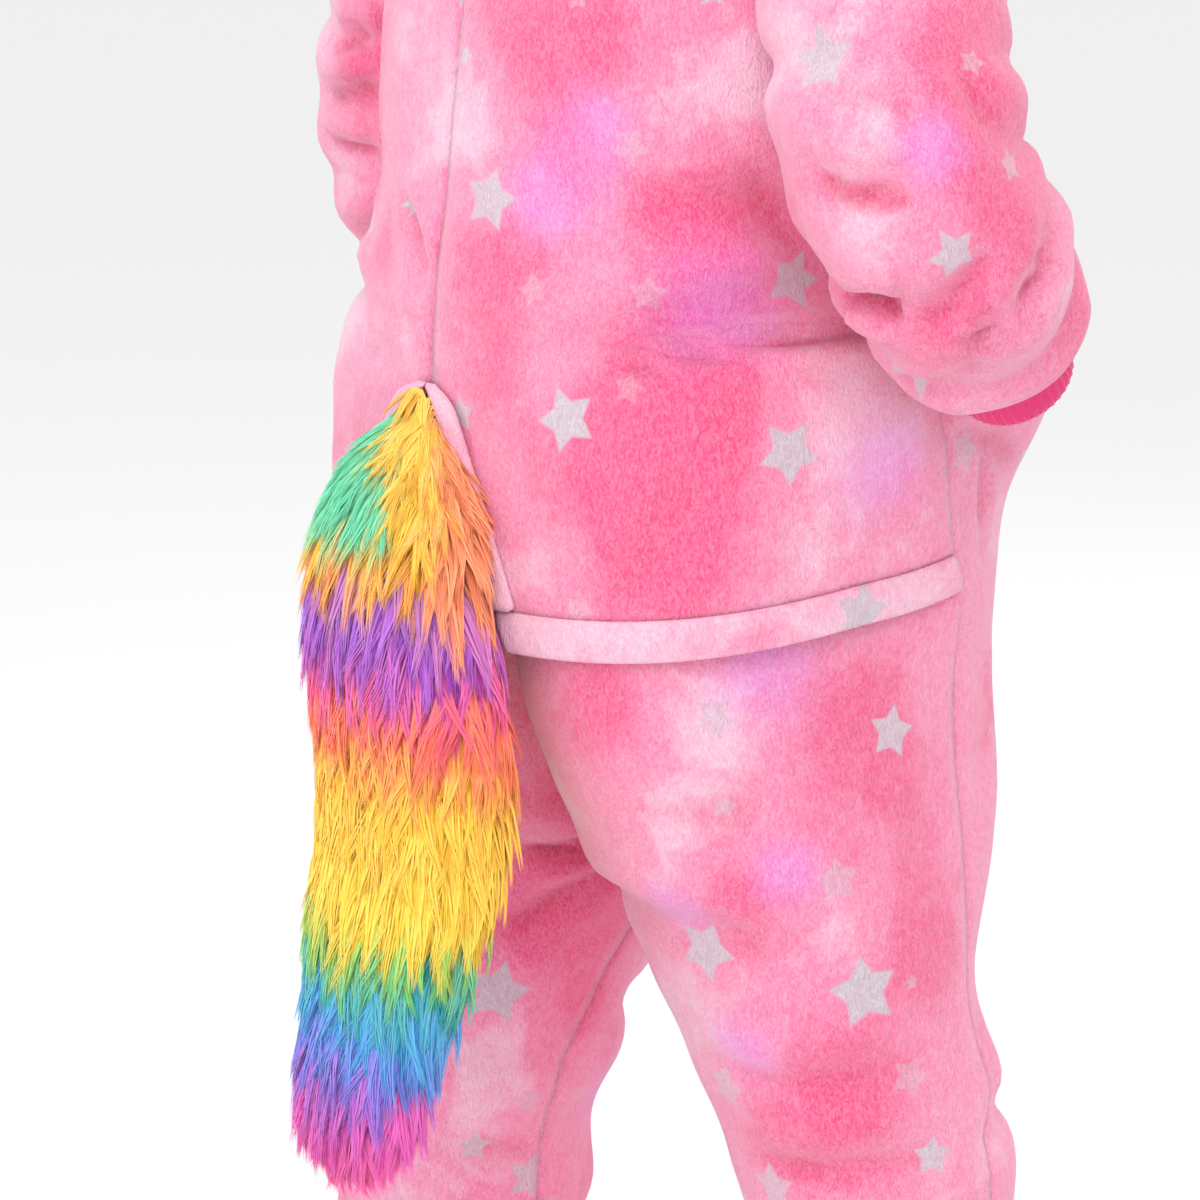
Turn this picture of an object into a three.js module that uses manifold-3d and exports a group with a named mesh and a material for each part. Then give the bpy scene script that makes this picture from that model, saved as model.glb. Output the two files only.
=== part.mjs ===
// Hooded fleece one-piece with a button front, a loose seat flap and a long stuffed tail.
// Millimetres, +Z up. The front faces -Y, and the garment's right side is at -X.
// The origin is the middle of the neck seam, where the garment hangs on the shoulders.
// Every form is worked out for the right side, and the left is its mirror with its own arm and leg rows.

import * as THREE from "three";
import Module from "manifold-3d";

// Cloth and seams

const FLEECE = 2.4;
const RIB_KNIT = 1.8;
const SEAM_GAP = 0.3;
const EDGE = SEAM_GAP / 2;
const SQUARENESS = 2.15;

// Body heights

const SHOULDER_Z = -48;
const ARMPIT_Z = -190;
const HEM_Z = -572;
const NOTCH_Z = -424;
const BODICE_END_Z = -645;
const KNEE_Z = -800;
const CALF_Z = -1180;
const LEG_END_Z = -1308;

// The neck seam slopes down to the front by this share of y, fading out over these heights

const NECK_LEAN = { share: 0.25, below: 150, above: 120 };

// The cloth rides up towards the side seams round the hem, most at the hem itself

const HEM_LIFT = { rise: 26, fromZ: -380, toZ: -800, power: 1.6 };

// Bodice sections: half width, rearmost and foremost y, and how far in front of the side the seam runs

const BODICE = [
  { z: 0, half: 78, back: 62, front: -72, square: 2.1, seam: 0 },
  { z: -12, half: 108, back: 78, front: -84, square: 2.1, seam: 0 },
  { z: -28, half: 150, back: 98, front: -97, square: 2.1, seam: 0 },
  { z: -48, half: 180, back: 115, front: -108, square: 2.15, seam: 0 },
  { z: -80, half: 191, back: 130, front: -122, square: 2.2, seam: 0 },
  { z: -120, half: 194, back: 144, front: -135, square: 2.2, seam: 0 },
  { z: -190, half: 193, back: 157, front: -149, square: 2.15, seam: 0 },
  { z: -255, half: 190, back: 166, front: -154, square: 2.15, seam: 0 },
  { z: -318, half: 176, back: 173, front: -159, square: 2.15, seam: 0 },
  { z: -352, half: 181, back: 179, front: -166, square: 2.2, seam: 2 },
  { z: -400, half: 206, back: 183, front: -173, square: 2.3, seam: 7 },
  { z: -445, half: 215, back: 185, front: -176, square: 2.45, seam: 9 },
  { z: -510, half: 209, back: 186, front: -173, square: 2.6, seam: 13 },
  { z: -572, half: 208, back: 187, front: -166, square: 2.65, seam: 19 },
  { z: -660, half: 208, back: 187, front: -160, square: 2.65, seam: 21 },
];

// Trouser sections: each half is an oval round mid, cut off at the middle plane until it clears it

const TROUSERS = [
  { z: -400, mid: 45, half: 144, back: 165, front: -155, seam: 7 },
  { z: -425, mid: 55, half: 142, back: 166, front: -157, seam: 9 },
  { z: -500, mid: 80, half: 118, back: 167, front: -157, seam: 18 },
  { z: -598, mid: 92, half: 110, back: 166, front: -152, seam: 25 },
  { z: -657, mid: 101, half: 108, back: 151, front: -148, seam: 23 },
  { z: -705, mid: 110, half: 106, back: 127, front: -139, seam: 23 },
  { z: -749, mid: 118, half: 105, back: 104, front: -122, seam: 25 },
  { z: -785, mid: 127, half: 97, back: 94, front: -108, seam: 31 },
  { z: -841, mid: 140, half: 87, back: 91, front: -95, seam: 34 },
  { z: -915, mid: 152, half: 85, back: 87, front: -91, seam: 14 },
  { z: -955, mid: 159, half: 81, back: 81, front: -83, seam: 12 },
  { z: -1011, mid: 165, half: 83, back: 84, front: -86, seam: 9 },
  { z: -1100, mid: 168, half: 80, back: 80, front: -84, seam: 6 },
  { z: -1200, mid: 170, half: 78, back: 76, front: -82, seam: 4 },
  { z: -1268, mid: 170, half: 81, back: 78, front: -84, seam: 2 },
  { z: -1298, mid: 170, half: 68, back: 65, front: -71, seam: 0 },
  { z: -1308, mid: 170, half: 51, back: 48, front: -54, seam: 0 },
];

// Stance: how far each leg is moved along Y, the right one forward and the left one back

const STANCE = [
  { z: -640, right: 0, left: 0 },
  { z: -785, right: -3, left: 6 },
  { z: -841, right: -17, left: 24 },
  { z: -915, right: -40, left: 42 },
  { z: -1011, right: -43, left: 46 },
  { z: -1100, right: -32, left: 48 },
  { z: -1200, right: -12, left: 50 },
  { z: -1308, right: 0, left: 50 },
];

// The shift grows with the distance from the middle plane, and is whole below the knee

const STANCE_HOLD = { across: 90, fromZ: -780, toZ: -900 };

// Armhole: an oval in the side of the bodice, as wide as this many degrees to each side

const ARM_CLEARANCE = 2;
const ARMHOLE = {
  z: (SHOULDER_Z + ARMPIT_Z) / 2,
  rise: (SHOULDER_Z - ARMPIT_Z) / 2,
  spread: 31,
  steps: 16,
};

// Sleeve centre lines from the armhole to past the wrist, in the right arm's coordinates

const ARM_PATH = {
  right: [
    { x: -192, y: 0, z: -119 },
    { x: -230, y: 34, z: -168 },
    { x: -258, y: 54, z: -222 },
    { x: -280, y: 58, z: -278 },
    { x: -284, y: 26, z: -332 },
    { x: -262, y: -28, z: -384 },
    { x: -254, y: -48, z: -403 },
  ],
  left: [
    { x: -192, y: 0, z: -119 },
    { x: -228, y: 6, z: -175 },
    { x: -246, y: 4, z: -235 },
    { x: -266, y: -2, z: -302 },
    { x: -268, y: -24, z: -356 },
    { x: -256, y: -68, z: -398 },
    { x: -250, y: -88, z: -412 },
  ],
};

// Sleeve sections: share of the centre line's length and radius, turning back at the wrist over the cuff

const SLEEVE = [
  { along: 0.07, radius: 74 },
  { along: 0.14, radius: 75 },
  { along: 0.2, radius: 73 },
  { along: 0.26, radius: 71 },
  { along: 0.32, radius: 70 },
  { along: 0.38, radius: 69 },
  { along: 0.44, radius: 68 },
  { along: 0.5, radius: 68 },
  { along: 0.56, radius: 68 },
  { along: 0.62, radius: 67 },
  { along: 0.68, radius: 66 },
  { along: 0.74, radius: 64 },
  { along: 0.8, radius: 61 },
  { along: 0.86, radius: 57 },
  { along: 0.91, radius: 50 },
  { along: 0.93, radius: 43 },
  { along: 0.915, radius: 38.5 },
];

// Sleeve folds: where each lies, its depth, half length along the arm, lean and the side it is deepest on

const SLEEVE_FOLDS = [
  { along: 0.24, depth: 8, width: 0.03, lean: 0.03, facing: 60 },
  { along: 0.37, depth: 11, width: 0.028, lean: -0.04, facing: 170 },
  { along: 0.52, depth: 10, width: 0.03, lean: 0.05, facing: 20 },
  { along: 0.63, depth: 13, width: 0.03, lean: -0.03, facing: 200 },
  { along: 0.76, depth: 11, width: 0.028, lean: 0.05, facing: 340 },
];

// Wrist and ankle cuffs

const WRIST_CUFF = { from: 0.9, to: 0.99, radius: 37, ribs: 40, groove: 0.8 };
const ANKLE_CUFF = { length: 48, radius: 50.6, ribs: 44, groove: 0.8 };

// Every body fold fades in and out over these shares of its length, with its ridge this far above its trough

const FOLD_SHAPE = { in: [-0.25, 0.15], out: [0.7, 1.25], reach: 0.3, ridgeUp: 1.5, ridgeWidth: 1.4 };

// Body folds: a soft ridge over a trough between two places, each given by its angle and height

const BODY_FOLDS = [
  { from: 172, fromZ: -352, to: 112, toZ: -388, depth: 9, width: 13, ridge: 0.8 },
  { from: 170, fromZ: -318, to: 138, toZ: -300, depth: 4, width: 14, ridge: 0.6 },
  { from: 196, fromZ: -345, to: 250, toZ: -372, depth: 7, width: 15, ridge: 0.7 },
];
const LEG_FOLDS = [
  { from: 30, fromZ: -735, to: 118, toZ: -738, depth: 8, width: 15, ridge: 0.7 },
  { from: 200, fromZ: -886, to: 300, toZ: -872, depth: 7, width: 16, ridge: 0.8 },
  { from: 60, fromZ: -985, to: 150, toZ: -1010, depth: 6, width: 17, ridge: 0.6 },
  { from: 10, fromZ: -1215, to: 190, toZ: -1200, depth: 6, width: 15, ridge: 0.8 },
  { from: 150, fromZ: -1242, to: 340, toZ: -1248, depth: 6, width: 13, ridge: 0.8 },
];

// Flap bands

const HEM_BAND = { width: 23, thick: 6.2, endGap: 0.004 };
const NOTCH_BAND = { width: 14, thick: 5.6, steps: 10, below: 4, above: 3 };
const NOTCH = { halfWidth: 74, round: 0.3 };

// Pocket: a slit in the front panel, the bag behind it and how far the cloth stands out round it

const POCKET = {
  topZ: -318,
  mouthZ: -436,
  slitShare: 0.2,
  slitHalf: 0.075,
  leastGape: 0.06,
  easeAbove: 50,
  easeBelow: 60,
  bulge: 40,
  bulgeShare: 0.47,
  bulgeSpread: 0.25,
  bulgeZ: -398,
  bulgeAbove: 50,
  bulgeBelow: 71,
  rowsAbove: 1,
  rowsBelow: 4,
  columns: 7,
  bagDepth: 17,
  wall: 1.6,
};

// Button strip down the front

const PLACKET = { half: 17, thick: 2.6, edgeDrop: 0.8 };
const BUTTON = { count: 6, firstZ: -45, pitch: 94, radius: 9, thick: 3.4, clear: 0.7, sides: 12 };

// Hood sections over the neck seam; edge is where the face opening starts, 1 at the middle front

const HOOD = [
  { rise: 0.3, half: 78, back: 62, front: -72, edge: 1 },
  { rise: 22, half: 81, back: 70, front: -78, edge: 0.93 },
  { rise: 55, half: 92, back: 90, front: -80, edge: 0.76 },
  { rise: 100, half: 104, back: 112, front: -72, edge: 0.68 },
  { rise: 150, half: 108, back: 124, front: -68, edge: 0.66 },
  { rise: 200, half: 103, back: 124, front: -70, edge: 0.69 },
  { rise: 240, half: 86, back: 110, front: -74, edge: 0.77 },
  { rise: 266, half: 58, back: 88, front: -72, edge: 0.88 },
  { rise: 279, half: 28, back: 66, front: -62, edge: 0.96 },
  { rise: 284, half: 0.1, back: 50, front: -52, edge: 1 },
];

// Tail sections: centre and half sizes, out to the ends of the fur

const TAIL = [
  { z: -436, x: 0, y: 192, wide: 9, thick: 7 },
  { z: -446, x: -1, y: 196, wide: 24, thick: 16 },
  { z: -468, x: -4, y: 202, wide: 44, thick: 30 },
  { z: -500, x: -8, y: 210, wide: 64, thick: 42 },
  { z: -540, x: -10, y: 214, wide: 77, thick: 49 },
  { z: -590, x: -11, y: 210, wide: 84, thick: 53 },
  { z: -640, x: -12, y: 206, wide: 86, thick: 54 },
  { z: -690, x: -12, y: 208, wide: 84, thick: 53 },
  { z: -735, x: -12, y: 218, wide: 79, thick: 50 },
  { z: -780, x: -11, y: 228, wide: 70, thick: 46 },
  { z: -820, x: -10, y: 240, wide: 61, thick: 41 },
  { z: -856, x: -10, y: 248, wide: 54, thick: 36 },
  { z: -882, x: -9, y: 252, wide: 39, thick: 27 },
  { z: -898, x: -9, y: 254, wide: 22, thick: 15 },
  { z: -906, x: -9, y: 255, wide: 6, thick: 4 },
];
const TAIL_SIDES = 20;

// How far the tail keeps from the cloth that it lies on, and where that cloth starts and ends

const TAIL_REST = {
  seatGap: 1.2,
  flapGap: 4.6,
  flapUnder: 4.4,
  flapTopZ: -330,
  seatEndZ: -960,
  sideAngle: 160,
};

// Materials

const PINK = new THREE.Color(0xf07fa9);
const MAGENTA = new THREE.Color(0xd01560);
const BUTTON_PINK = new THREE.Color(0xf3b6cc);
const TAIL_YELLOW = new THREE.Color(0xf5c233);

function fleeceMaterial() {
  return new THREE.MeshStandardMaterial({ color: PINK, roughness: 0.95, metalness: 0 });
}

function ribMaterial() {
  return new THREE.MeshStandardMaterial({ color: MAGENTA, roughness: 0.9, metalness: 0 });
}

function furMaterial() {
  return new THREE.MeshStandardMaterial({ color: TAIL_YELLOW, roughness: 0.85, metalness: 0 });
}

function buttonMaterial() {
  return new THREE.MeshStandardMaterial({ color: BUTTON_PINK, roughness: 0.4, metalness: 0 });
}

// Sides

const SIDES = [
  { name: "right", mirror: 1 },
  { name: "left", mirror: -1 },
];

// Small sums

function radians(degrees) {
  return (degrees * Math.PI) / 180;
}

function mix(a, b, share) {
  return a + (b - a) * share;
}

function smooth(low, high, value) {
  const share = Math.min(1, Math.max(0, (value - low) / (high - low)));
  return share * share * (3 - 2 * share);
}

function hump(distance, width) {
  return Math.exp(-((distance / width) ** 2));
}

// A row between the rows of a table, on smooth curves through every column

function rowAt(table, key, value) {
  const rising = table[table.length - 1][key] > table[0][key];
  let last = 1;
  const passed = (row) => (rising ? row[key] < value : row[key] > value);
  while (last < table.length - 1 && passed(table[last])) last += 1;
  const a = table[last - 1];
  const b = table[last];
  const before = table[Math.max(0, last - 2)];
  const after = table[Math.min(table.length - 1, last + 1)];
  const step = b[key] - a[key];
  const share = Math.min(1, Math.max(0, (value - a[key]) / step));
  const row = {};
  for (const column of Object.keys(a)) {
    const slopeA = ((b[column] - before[column]) / (b[key] - before[key])) * step;
    const slopeB = ((after[column] - a[column]) / (after[key] - a[key])) * step;
    const s2 = share * share;
    const s3 = s2 * share;
    row[column] =
      (2 * s3 - 3 * s2 + 1) * a[column] +
      (s3 - 2 * s2 + share) * slopeA +
      (3 * s2 - 2 * s3) * b[column] +
      (s3 - s2) * slopeB;
  }
  return row;
}

// A point on a squared oval

function oval(row, middle, angle) {
  const power = 2 / (row.square ?? SQUARENESS);
  const c = Math.cos(radians(angle));
  const s = Math.sin(radians(angle));
  const centre = (row.back + row.front) / 2;
  const depth = (row.back - row.front) / 2;
  return [
    -middle + row.half * Math.sign(c) * Math.abs(c) ** power,
    centre + depth * Math.sign(s) * Math.abs(s) ** power,
  ];
}

// Fold relief: a ridge on the upper side of a line and a trough along it, fading at both ends

function foldRelief(folds, angle, z) {
  let sum = 0;
  for (const fold of folds) {
    const span = fold.to - fold.from;
    const share = (angle - fold.from) / span;
    const held = Math.min(1 + FOLD_SHAPE.reach, Math.max(-FOLD_SHAPE.reach, share));
    const fade = smooth(...FOLD_SHAPE.in, share) * (1 - smooth(...FOLD_SHAPE.out, share));
    const off = z - mix(fold.fromZ, fold.toZ, held);
    const ridge = hump(off - FOLD_SHAPE.ridgeUp * fold.width, FOLD_SHAPE.ridgeWidth * fold.width);
    sum += fade * fold.depth * (fold.ridge * ridge - hump(off, fold.width));
  }
  return sum;
}

// Body surfaces. Each takes an angle (90 back, 180 side, 270 front) and a height on the right side

function bodicePoint(side, angle, z) {
  const row = rowAt(BODICE, "z", z);
  const [x, y] = oval(row, 0, angle);
  const lean = NECK_LEAN.share * y * smooth(-NECK_LEAN.below, 0, z);
  return new THREE.Vector3(x, y, z + lean);
}

function crotchAngle(row) {
  const reach = (row.mid - EDGE) / row.half;
  const seam = (EDGE / row.half) * (180 / Math.PI);
  if (reach >= 1) return seam;
  return Math.max(seam, (Math.acos(reach ** (SQUARENESS / 2)) * 180) / Math.PI);
}

function trouserPoint(side, angle, z) {
  const row = rowAt(TROUSERS, "z", z);
  const [x, y] = oval(row, row.mid, angle);
  const shift = rowAt(STANCE, "z", Math.min(z, STANCE[0].z))[side.name];
  const held = Math.max(smooth(0, STANCE_HOLD.across, -x), smooth(STANCE_HOLD.fromZ, STANCE_HOLD.toZ, z));
  return new THREE.Vector3(x, y + shift * held, z);
}

// A surface with its folds, and its outward normal from nearby points

const NORMAL_STEP = 0.6;

function placed(surface, side, angle, z, out) {
  const across = surface(side, angle + NORMAL_STEP, z).sub(surface(side, angle - NORMAL_STEP, z));
  const along = surface(side, angle, z - 1).sub(surface(side, angle, z + 1));
  const normal = along.cross(across).normalize();
  return surface(side, angle, z).addScaledVector(normal, out);
}

function bodiceAt(side, angle, z, out) {
  return placed(bodicePoint, side, angle, z, out + foldRelief(BODY_FOLDS, angle, z));
}

function trouserAt(side, angle, z, out) {
  return placed(trouserPoint, side, angle, z, out + foldRelief(LEG_FOLDS, angle, z));
}

// The height of a level once the cloth rides up, at a share of 1 at the side seam

function liftedLevel(level, share) {
  const near = smooth(HEM_LIFT.fromZ, HEM_Z, level) * (1 - smooth(HEM_Z, HEM_LIFT.toZ, level));
  return level + HEM_LIFT.rise * near * share ** HEM_LIFT.power;
}

// Front panel: from the side seam (share 0) to the middle front or inner leg seam (share 1)

function seamAngle(table, z) {
  return 180 + rowAt(table, "z", z).seam;
}

function armholeSpread(z) {
  const height = (z - ARMHOLE.z) / ARMHOLE.rise;
  if (Math.abs(height) >= 1) return 0;
  return ARMHOLE.spread * Math.sqrt(1 - height * height);
}

function edgeDegrees(surface, side, angle, z) {
  const reach = surface(side, angle + 1, z).distanceTo(surface(side, angle - 1, z)) / 2;
  return EDGE / reach;
}

function pocketBulge(share, z) {
  const across = hump(share - POCKET.bulgeShare, POCKET.bulgeSpread);
  const drop = z > POCKET.bulgeZ ? POCKET.bulgeAbove : POCKET.bulgeBelow;
  const flat = 1 - smooth(0.75, 1, share);
  return POCKET.bulge * across * flat * hump(z - POCKET.bulgeZ, drop);
}

function frontAt(side, share, level, out) {
  const z = liftedLevel(level, 1 - share);
  const lift = out + pocketBulge(share, z);
  const blend = smooth(BODICE_END_Z, HEM_Z, level);
  const parts = [];
  if (blend > 0) {
    const start = seamAngle(BODICE, z) + armholeSpread(z);
    const from = start + edgeDegrees(bodicePoint, side, start, z);
    const to = 270 - edgeDegrees(bodicePoint, side, 269, z);
    parts.push([blend, bodiceAt(side, mix(from, to, share), z, lift)]);
  }
  if (blend < 1) {
    const row = rowAt(TROUSERS, "z", z);
    const start = 180 + row.seam;
    const from = start + edgeDegrees(trouserPoint, side, start, z);
    parts.push([1 - blend, trouserAt(side, mix(from, 360 - crotchAngle(row), share), z, lift)]);
  }
  const point = new THREE.Vector3();
  for (const [weight, place] of parts) point.addScaledVector(place, weight);
  return point;
}

// Back panels: from the middle back or inner leg seam (share 0) to the side seam (share 1)

function notchAngle(z, widen) {
  const share = Math.min(1, Math.max(0, (NOTCH_Z - z) / (NOTCH_Z - HEM_Z)));
  const width = NOTCH.halfWidth * mix(share, Math.sqrt(share), NOTCH.round) + widen;
  const row = rowAt(BODICE, "z", z);
  const sine = Math.min(1, Math.max(0, width) / row.half) ** (row.square / 2);
  return 90 + (Math.asin(sine) * 180) / Math.PI + Math.min(0, width);
}

function backAt(side, share, level, out) {
  const z = liftedLevel(level, share);
  const from = notchAngle(z, EDGE);
  const end = seamAngle(BODICE, z) - armholeSpread(z);
  const to = end - edgeDegrees(bodicePoint, side, end, z);
  return bodiceAt(side, mix(from, to, share), z, out);
}

function seatAt(side, share, level, out) {
  const z = liftedLevel(level, share);
  const row = rowAt(TROUSERS, "z", z);
  const end = 180 + row.seam;
  const to = end - edgeDegrees(trouserPoint, side, end, z);
  return trouserAt(side, mix(crotchAngle(row), to, share), z, out);
}

// Meshes

function meshFrom(name, points, faces, mirror, material) {
  const positions = new Float32Array(points.length * 3);
  points.forEach((p, i) => positions.set([p.x * mirror, p.y, p.z], i * 3));
  const index = [];
  for (const [a, b, c] of faces) index.push(...(mirror > 0 ? [a, b, c] : [a, c, b]));
  const geometry = new THREE.BufferGeometry();
  geometry.setAttribute("position", new THREE.BufferAttribute(positions, 3));
  geometry.setIndex(index);
  geometry.computeVertexNormals();
  const mesh = new THREE.Mesh(geometry, material);
  mesh.name = name;
  return mesh;
}

// A wall over a grid of places: place(row, column, out) is a point that far outside the cloth's face.
// Cells that open() names are left out, and the wall gets a rim along every free edge.

function wallFaces(rows, columns, wraps, open) {
  const faces = [];
  const inner = rows * columns;
  const at = (r, c) => r * columns + (c % columns);
  const lastColumn = wraps ? columns : columns - 1;
  const quad = (a, b, c, d) => faces.push([a, b, c], [a, c, d]);
  const closed = (r, c) => r >= 0 && r < rows - 1 && (wraps || (c >= 0 && c < lastColumn)) && !open(r, c);
  for (let r = 0; r < rows - 1; r += 1) {
    for (let c = 0; c < lastColumn; c += 1) {
      if (open(r, c)) continue;
      const [a, b, d, e] = [at(r, c), at(r, c + 1), at(r + 1, c), at(r + 1, c + 1)];
      quad(a, d, e, b);
      quad(a + inner, b + inner, e + inner, d + inner);
      if (!closed(r - 1, c)) quad(a, b, b + inner, a + inner);
      if (!closed(r + 1, c)) quad(d, d + inner, e + inner, e);
      if (!wraps && !closed(r, c - 1)) quad(a, a + inner, d + inner, d);
      if (!wraps && !closed(r, c + 1)) quad(b, e, e + inner, b + inner);
    }
  }
  return faces;
}

function wallMesh(name, side, rows, columns, place, wall, material, options = {}) {
  const wraps = options.wraps ?? false;
  const open = options.open ?? (() => false);
  const points = [];
  for (const out of [0, -wall]) {
    for (let r = 0; r < rows; r += 1) {
      for (let c = 0; c < columns; c += 1) points.push(place(r, c, out));
    }
  }
  const all = wallFaces(rows, columns, wraps, open);
  const faces = options.flip ? all.map(([a, b, c]) => [a, c, b]) : all;
  const used = new Map();
  const kept = [];
  const compact = faces.map((face) =>
    face.map((i) => {
      if (!used.has(i)) {
        used.set(i, kept.length);
        kept.push(points[i]);
      }
      return used.get(i);
    }),
  );
  return meshFrom(name, kept, compact, side.mirror, material);
}

// A solid strip: an outline carried through stations, closed by flat ends

function stripMesh(name, side, stations, outline, place, material, flip = false) {
  const points = [];
  for (let s = 0; s < stations; s += 1) {
    for (const spot of outline) points.push(place(s, spot));
  }
  const count = outline.length;
  const faces = [];
  for (let s = 0; s < stations - 1; s += 1) {
    for (let k = 0; k < count; k += 1) {
      const next = (k + 1) % count;
      const [a, b] = [s * count + k, s * count + next];
      faces.push([a, b, b + count], [a, b + count, a + count]);
    }
  }
  const end = (stations - 1) * count;
  for (let k = 1; k < count - 1; k += 1) {
    faces.push([0, k + 1, k], [end, end + k, end + k + 1]);
  }
  const turned = flip ? faces.map(([a, b, c]) => [a, c, b]) : faces;
  return meshFrom(name, points, turned, side.mirror, material);
}

// Heights of the panels' rows, the same on both sides of a seam: even steps, with the armhole's own between

function evenHeights(from, to, count) {
  return Array.from({ length: count }, (_, i) => mix(from, to, (i + 1) / count));
}

function armholeHeights() {
  const half = ARMHOLE.steps / 2;
  const height = (i) => ARMHOLE.z + ARMHOLE.rise * Math.cos((Math.PI * i) / half);
  return Array.from({ length: half + 1 }, (_, i) => height(i));
}

const BAND_TOP_Z = HEM_Z + HEM_BAND.width;
const SHOULDER_LEVELS = [0, -9, -22, -36].concat(armholeHeights());
const SLIT_LEVELS = evenHeights(POCKET.topZ, POCKET.mouthZ, 5);
const WAIST_LEVELS = evenHeights(ARMPIT_Z, POCKET.topZ, 4).concat(SLIT_LEVELS);
const HIP_LEVELS = evenHeights(POCKET.mouthZ, BAND_TOP_Z, 4);
const THIGH_LEVELS = evenHeights(BAND_TOP_Z, KNEE_Z, 8);
const SHIN_LEVELS = evenHeights(KNEE_Z, CALF_Z, 9);
const ANKLE_LEVELS = [-1210, -1236, -1260, -1282, -1299, LEG_END_Z];

// Back panels, each running down as the seat flap to the hem band

const FLAP_ROWS = SHOULDER_LEVELS.concat(WAIST_LEVELS, HIP_LEVELS);
const BACK_COLUMNS = 10;

function backPanel(side) {
  const place = (r, c, out) => backAt(side, c / (BACK_COLUMNS - 1), FLAP_ROWS[r], out);
  const name = `back_${side.name}`;
  return wallMesh(name, side, FLAP_ROWS.length, BACK_COLUMNS, place, FLEECE, fleeceMaterial());
}

// Hem band: the turned and padded lower edge of the flap

const BAND_OUTLINE = [
  { across: 0, out: 0 },
  { across: 0.12, out: 0.45 },
  { across: 0.5, out: 0.6 },
  { across: 0.88, out: 0.42 },
  { across: 1, out: -0.1 },
  { across: 0.88, out: -0.4 },
  { across: 0, out: -0.4 },
];

function hemBand(side) {
  const top = BAND_TOP_Z - SEAM_GAP;
  const place = (s, spot) => {
    const z = mix(top, HEM_Z, spot.across);
    const share = (s / (BACK_COLUMNS - 1)) * (1 - HEM_BAND.endGap);
    return backAt(side, share, z, spot.out * HEM_BAND.thick);
  };
  return stripMesh(`hem_band_${side.name}`, side, BACK_COLUMNS, BAND_OUTLINE, place, fleeceMaterial());
}

// Notch band: the padded binding down the edge of the notch

const NOTCH_OUTLINE = [
  { across: 0.04, out: 0.06 },
  { across: 0.2, out: 0.5 },
  { across: 0.55, out: 0.62 },
  { across: 0.9, out: 0.42 },
  { across: 1, out: 0.06 },
];

function notchBand(side) {
  const top = NOTCH_Z - NOTCH_BAND.below;
  const end = BAND_TOP_Z + NOTCH_BAND.above;
  const place = (s, spot) => {
    const z = mix(top, end, s / (NOTCH_BAND.steps - 1));
    const angle = notchAngle(z, EDGE + NOTCH_BAND.width * spot.across);
    return bodiceAt(side, angle, z, spot.out * NOTCH_BAND.thick);
  };
  const name = `notch_band_${side.name}`;
  return stripMesh(name, side, NOTCH_BAND.steps, NOTCH_OUTLINE, place, fleeceMaterial(), true);
}

// Front panels, one length from shoulder to ankle, each with its pocket slit

const FRONT_ROWS = SHOULDER_LEVELS.concat(WAIST_LEVELS, HIP_LEVELS, THIGH_LEVELS, SHIN_LEVELS, ANKLE_LEVELS);
const FRONT_SHARES = [0, 0.1, 0.2, 0.3, 0.45, 0.6, 0.74, 0.88, 1];
const SLIT_COLUMN = 2;
const SLIT_TOP = FRONT_ROWS.indexOf(POCKET.topZ);
const SLIT_END = FRONT_ROWS.indexOf(POCKET.mouthZ);

function slitShares(z) {
  const below = smooth(POCKET.mouthZ - POCKET.easeBelow, POCKET.mouthZ, z);
  const lift = below * (1 - smooth(POCKET.topZ, POCKET.topZ + POCKET.easeAbove, z));
  const middle = (POCKET.mouthZ + POCKET.topZ) / 2;
  const length = (POCKET.topZ - POCKET.mouthZ) / 2;
  const gape = Math.sqrt(Math.max(0, 1 - ((z - middle) / length) ** 2));
  const half = POCKET.slitHalf * Math.max(POCKET.leastGape, gape);
  const centre = POCKET.slitShare;
  return FRONT_SHARES.map((share, c) => {
    if (c === SLIT_COLUMN) return mix(share, centre - half, lift);
    if (c === SLIT_COLUMN + 1) return mix(share, centre + half, lift);
    return share;
  });
}

function frontPanel(side) {
  const open = (r, c) => c === SLIT_COLUMN && r >= SLIT_TOP && r < SLIT_END;
  const place = (r, c, out) => frontAt(side, slitShares(FRONT_ROWS[r])[c], FRONT_ROWS[r], out);
  const name = `front_${side.name}`;
  const [rows, columns] = [FRONT_ROWS.length, FRONT_SHARES.length];
  return wallMesh(name, side, rows, columns, place, FLEECE, fleeceMaterial(), { open });
}

// Pocket bag: a shallow pouch sewn to the inside of the front panel round the slit

function pocketBag(side) {
  const first = SLIT_TOP - POCKET.rowsAbove;
  const rows = POCKET.rowsAbove + SLIT_END - SLIT_TOP + POCKET.rowsBelow + 1;
  const columns = POCKET.columns;
  const place = (r, c, out) => {
    const z = FRONT_ROWS[first + r];
    const sag = Math.sin((Math.PI * r) / (rows - 1)) ** 0.7 * Math.sin((Math.PI * c) / (columns - 1)) ** 0.7;
    return frontAt(side, slitShares(z)[c], z, out - FLEECE - SEAM_GAP - POCKET.bagDepth * sag);
  };
  return wallMesh(`pocket_bag_${side.name}`, side, rows, columns, place, POCKET.wall, fleeceMaterial());
}

// Seat and leg backs, which go up under the flap

const SEAT_TOP = WAIST_LEVELS.slice(-2);
const SEAT_ROWS = SEAT_TOP.concat(HIP_LEVELS, THIGH_LEVELS, SHIN_LEVELS, ANKLE_LEVELS);
const SEAT_COLUMNS = 9;

function seatPanel(side) {
  const place = (r, c, out) => seatAt(side, c / (SEAT_COLUMNS - 1), SEAT_ROWS[r], out);
  const name = `leg_back_${side.name}`;
  return wallMesh(name, side, SEAT_ROWS.length, SEAT_COLUMNS, place, FLEECE, fleeceMaterial());
}

// Sleeves

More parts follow.
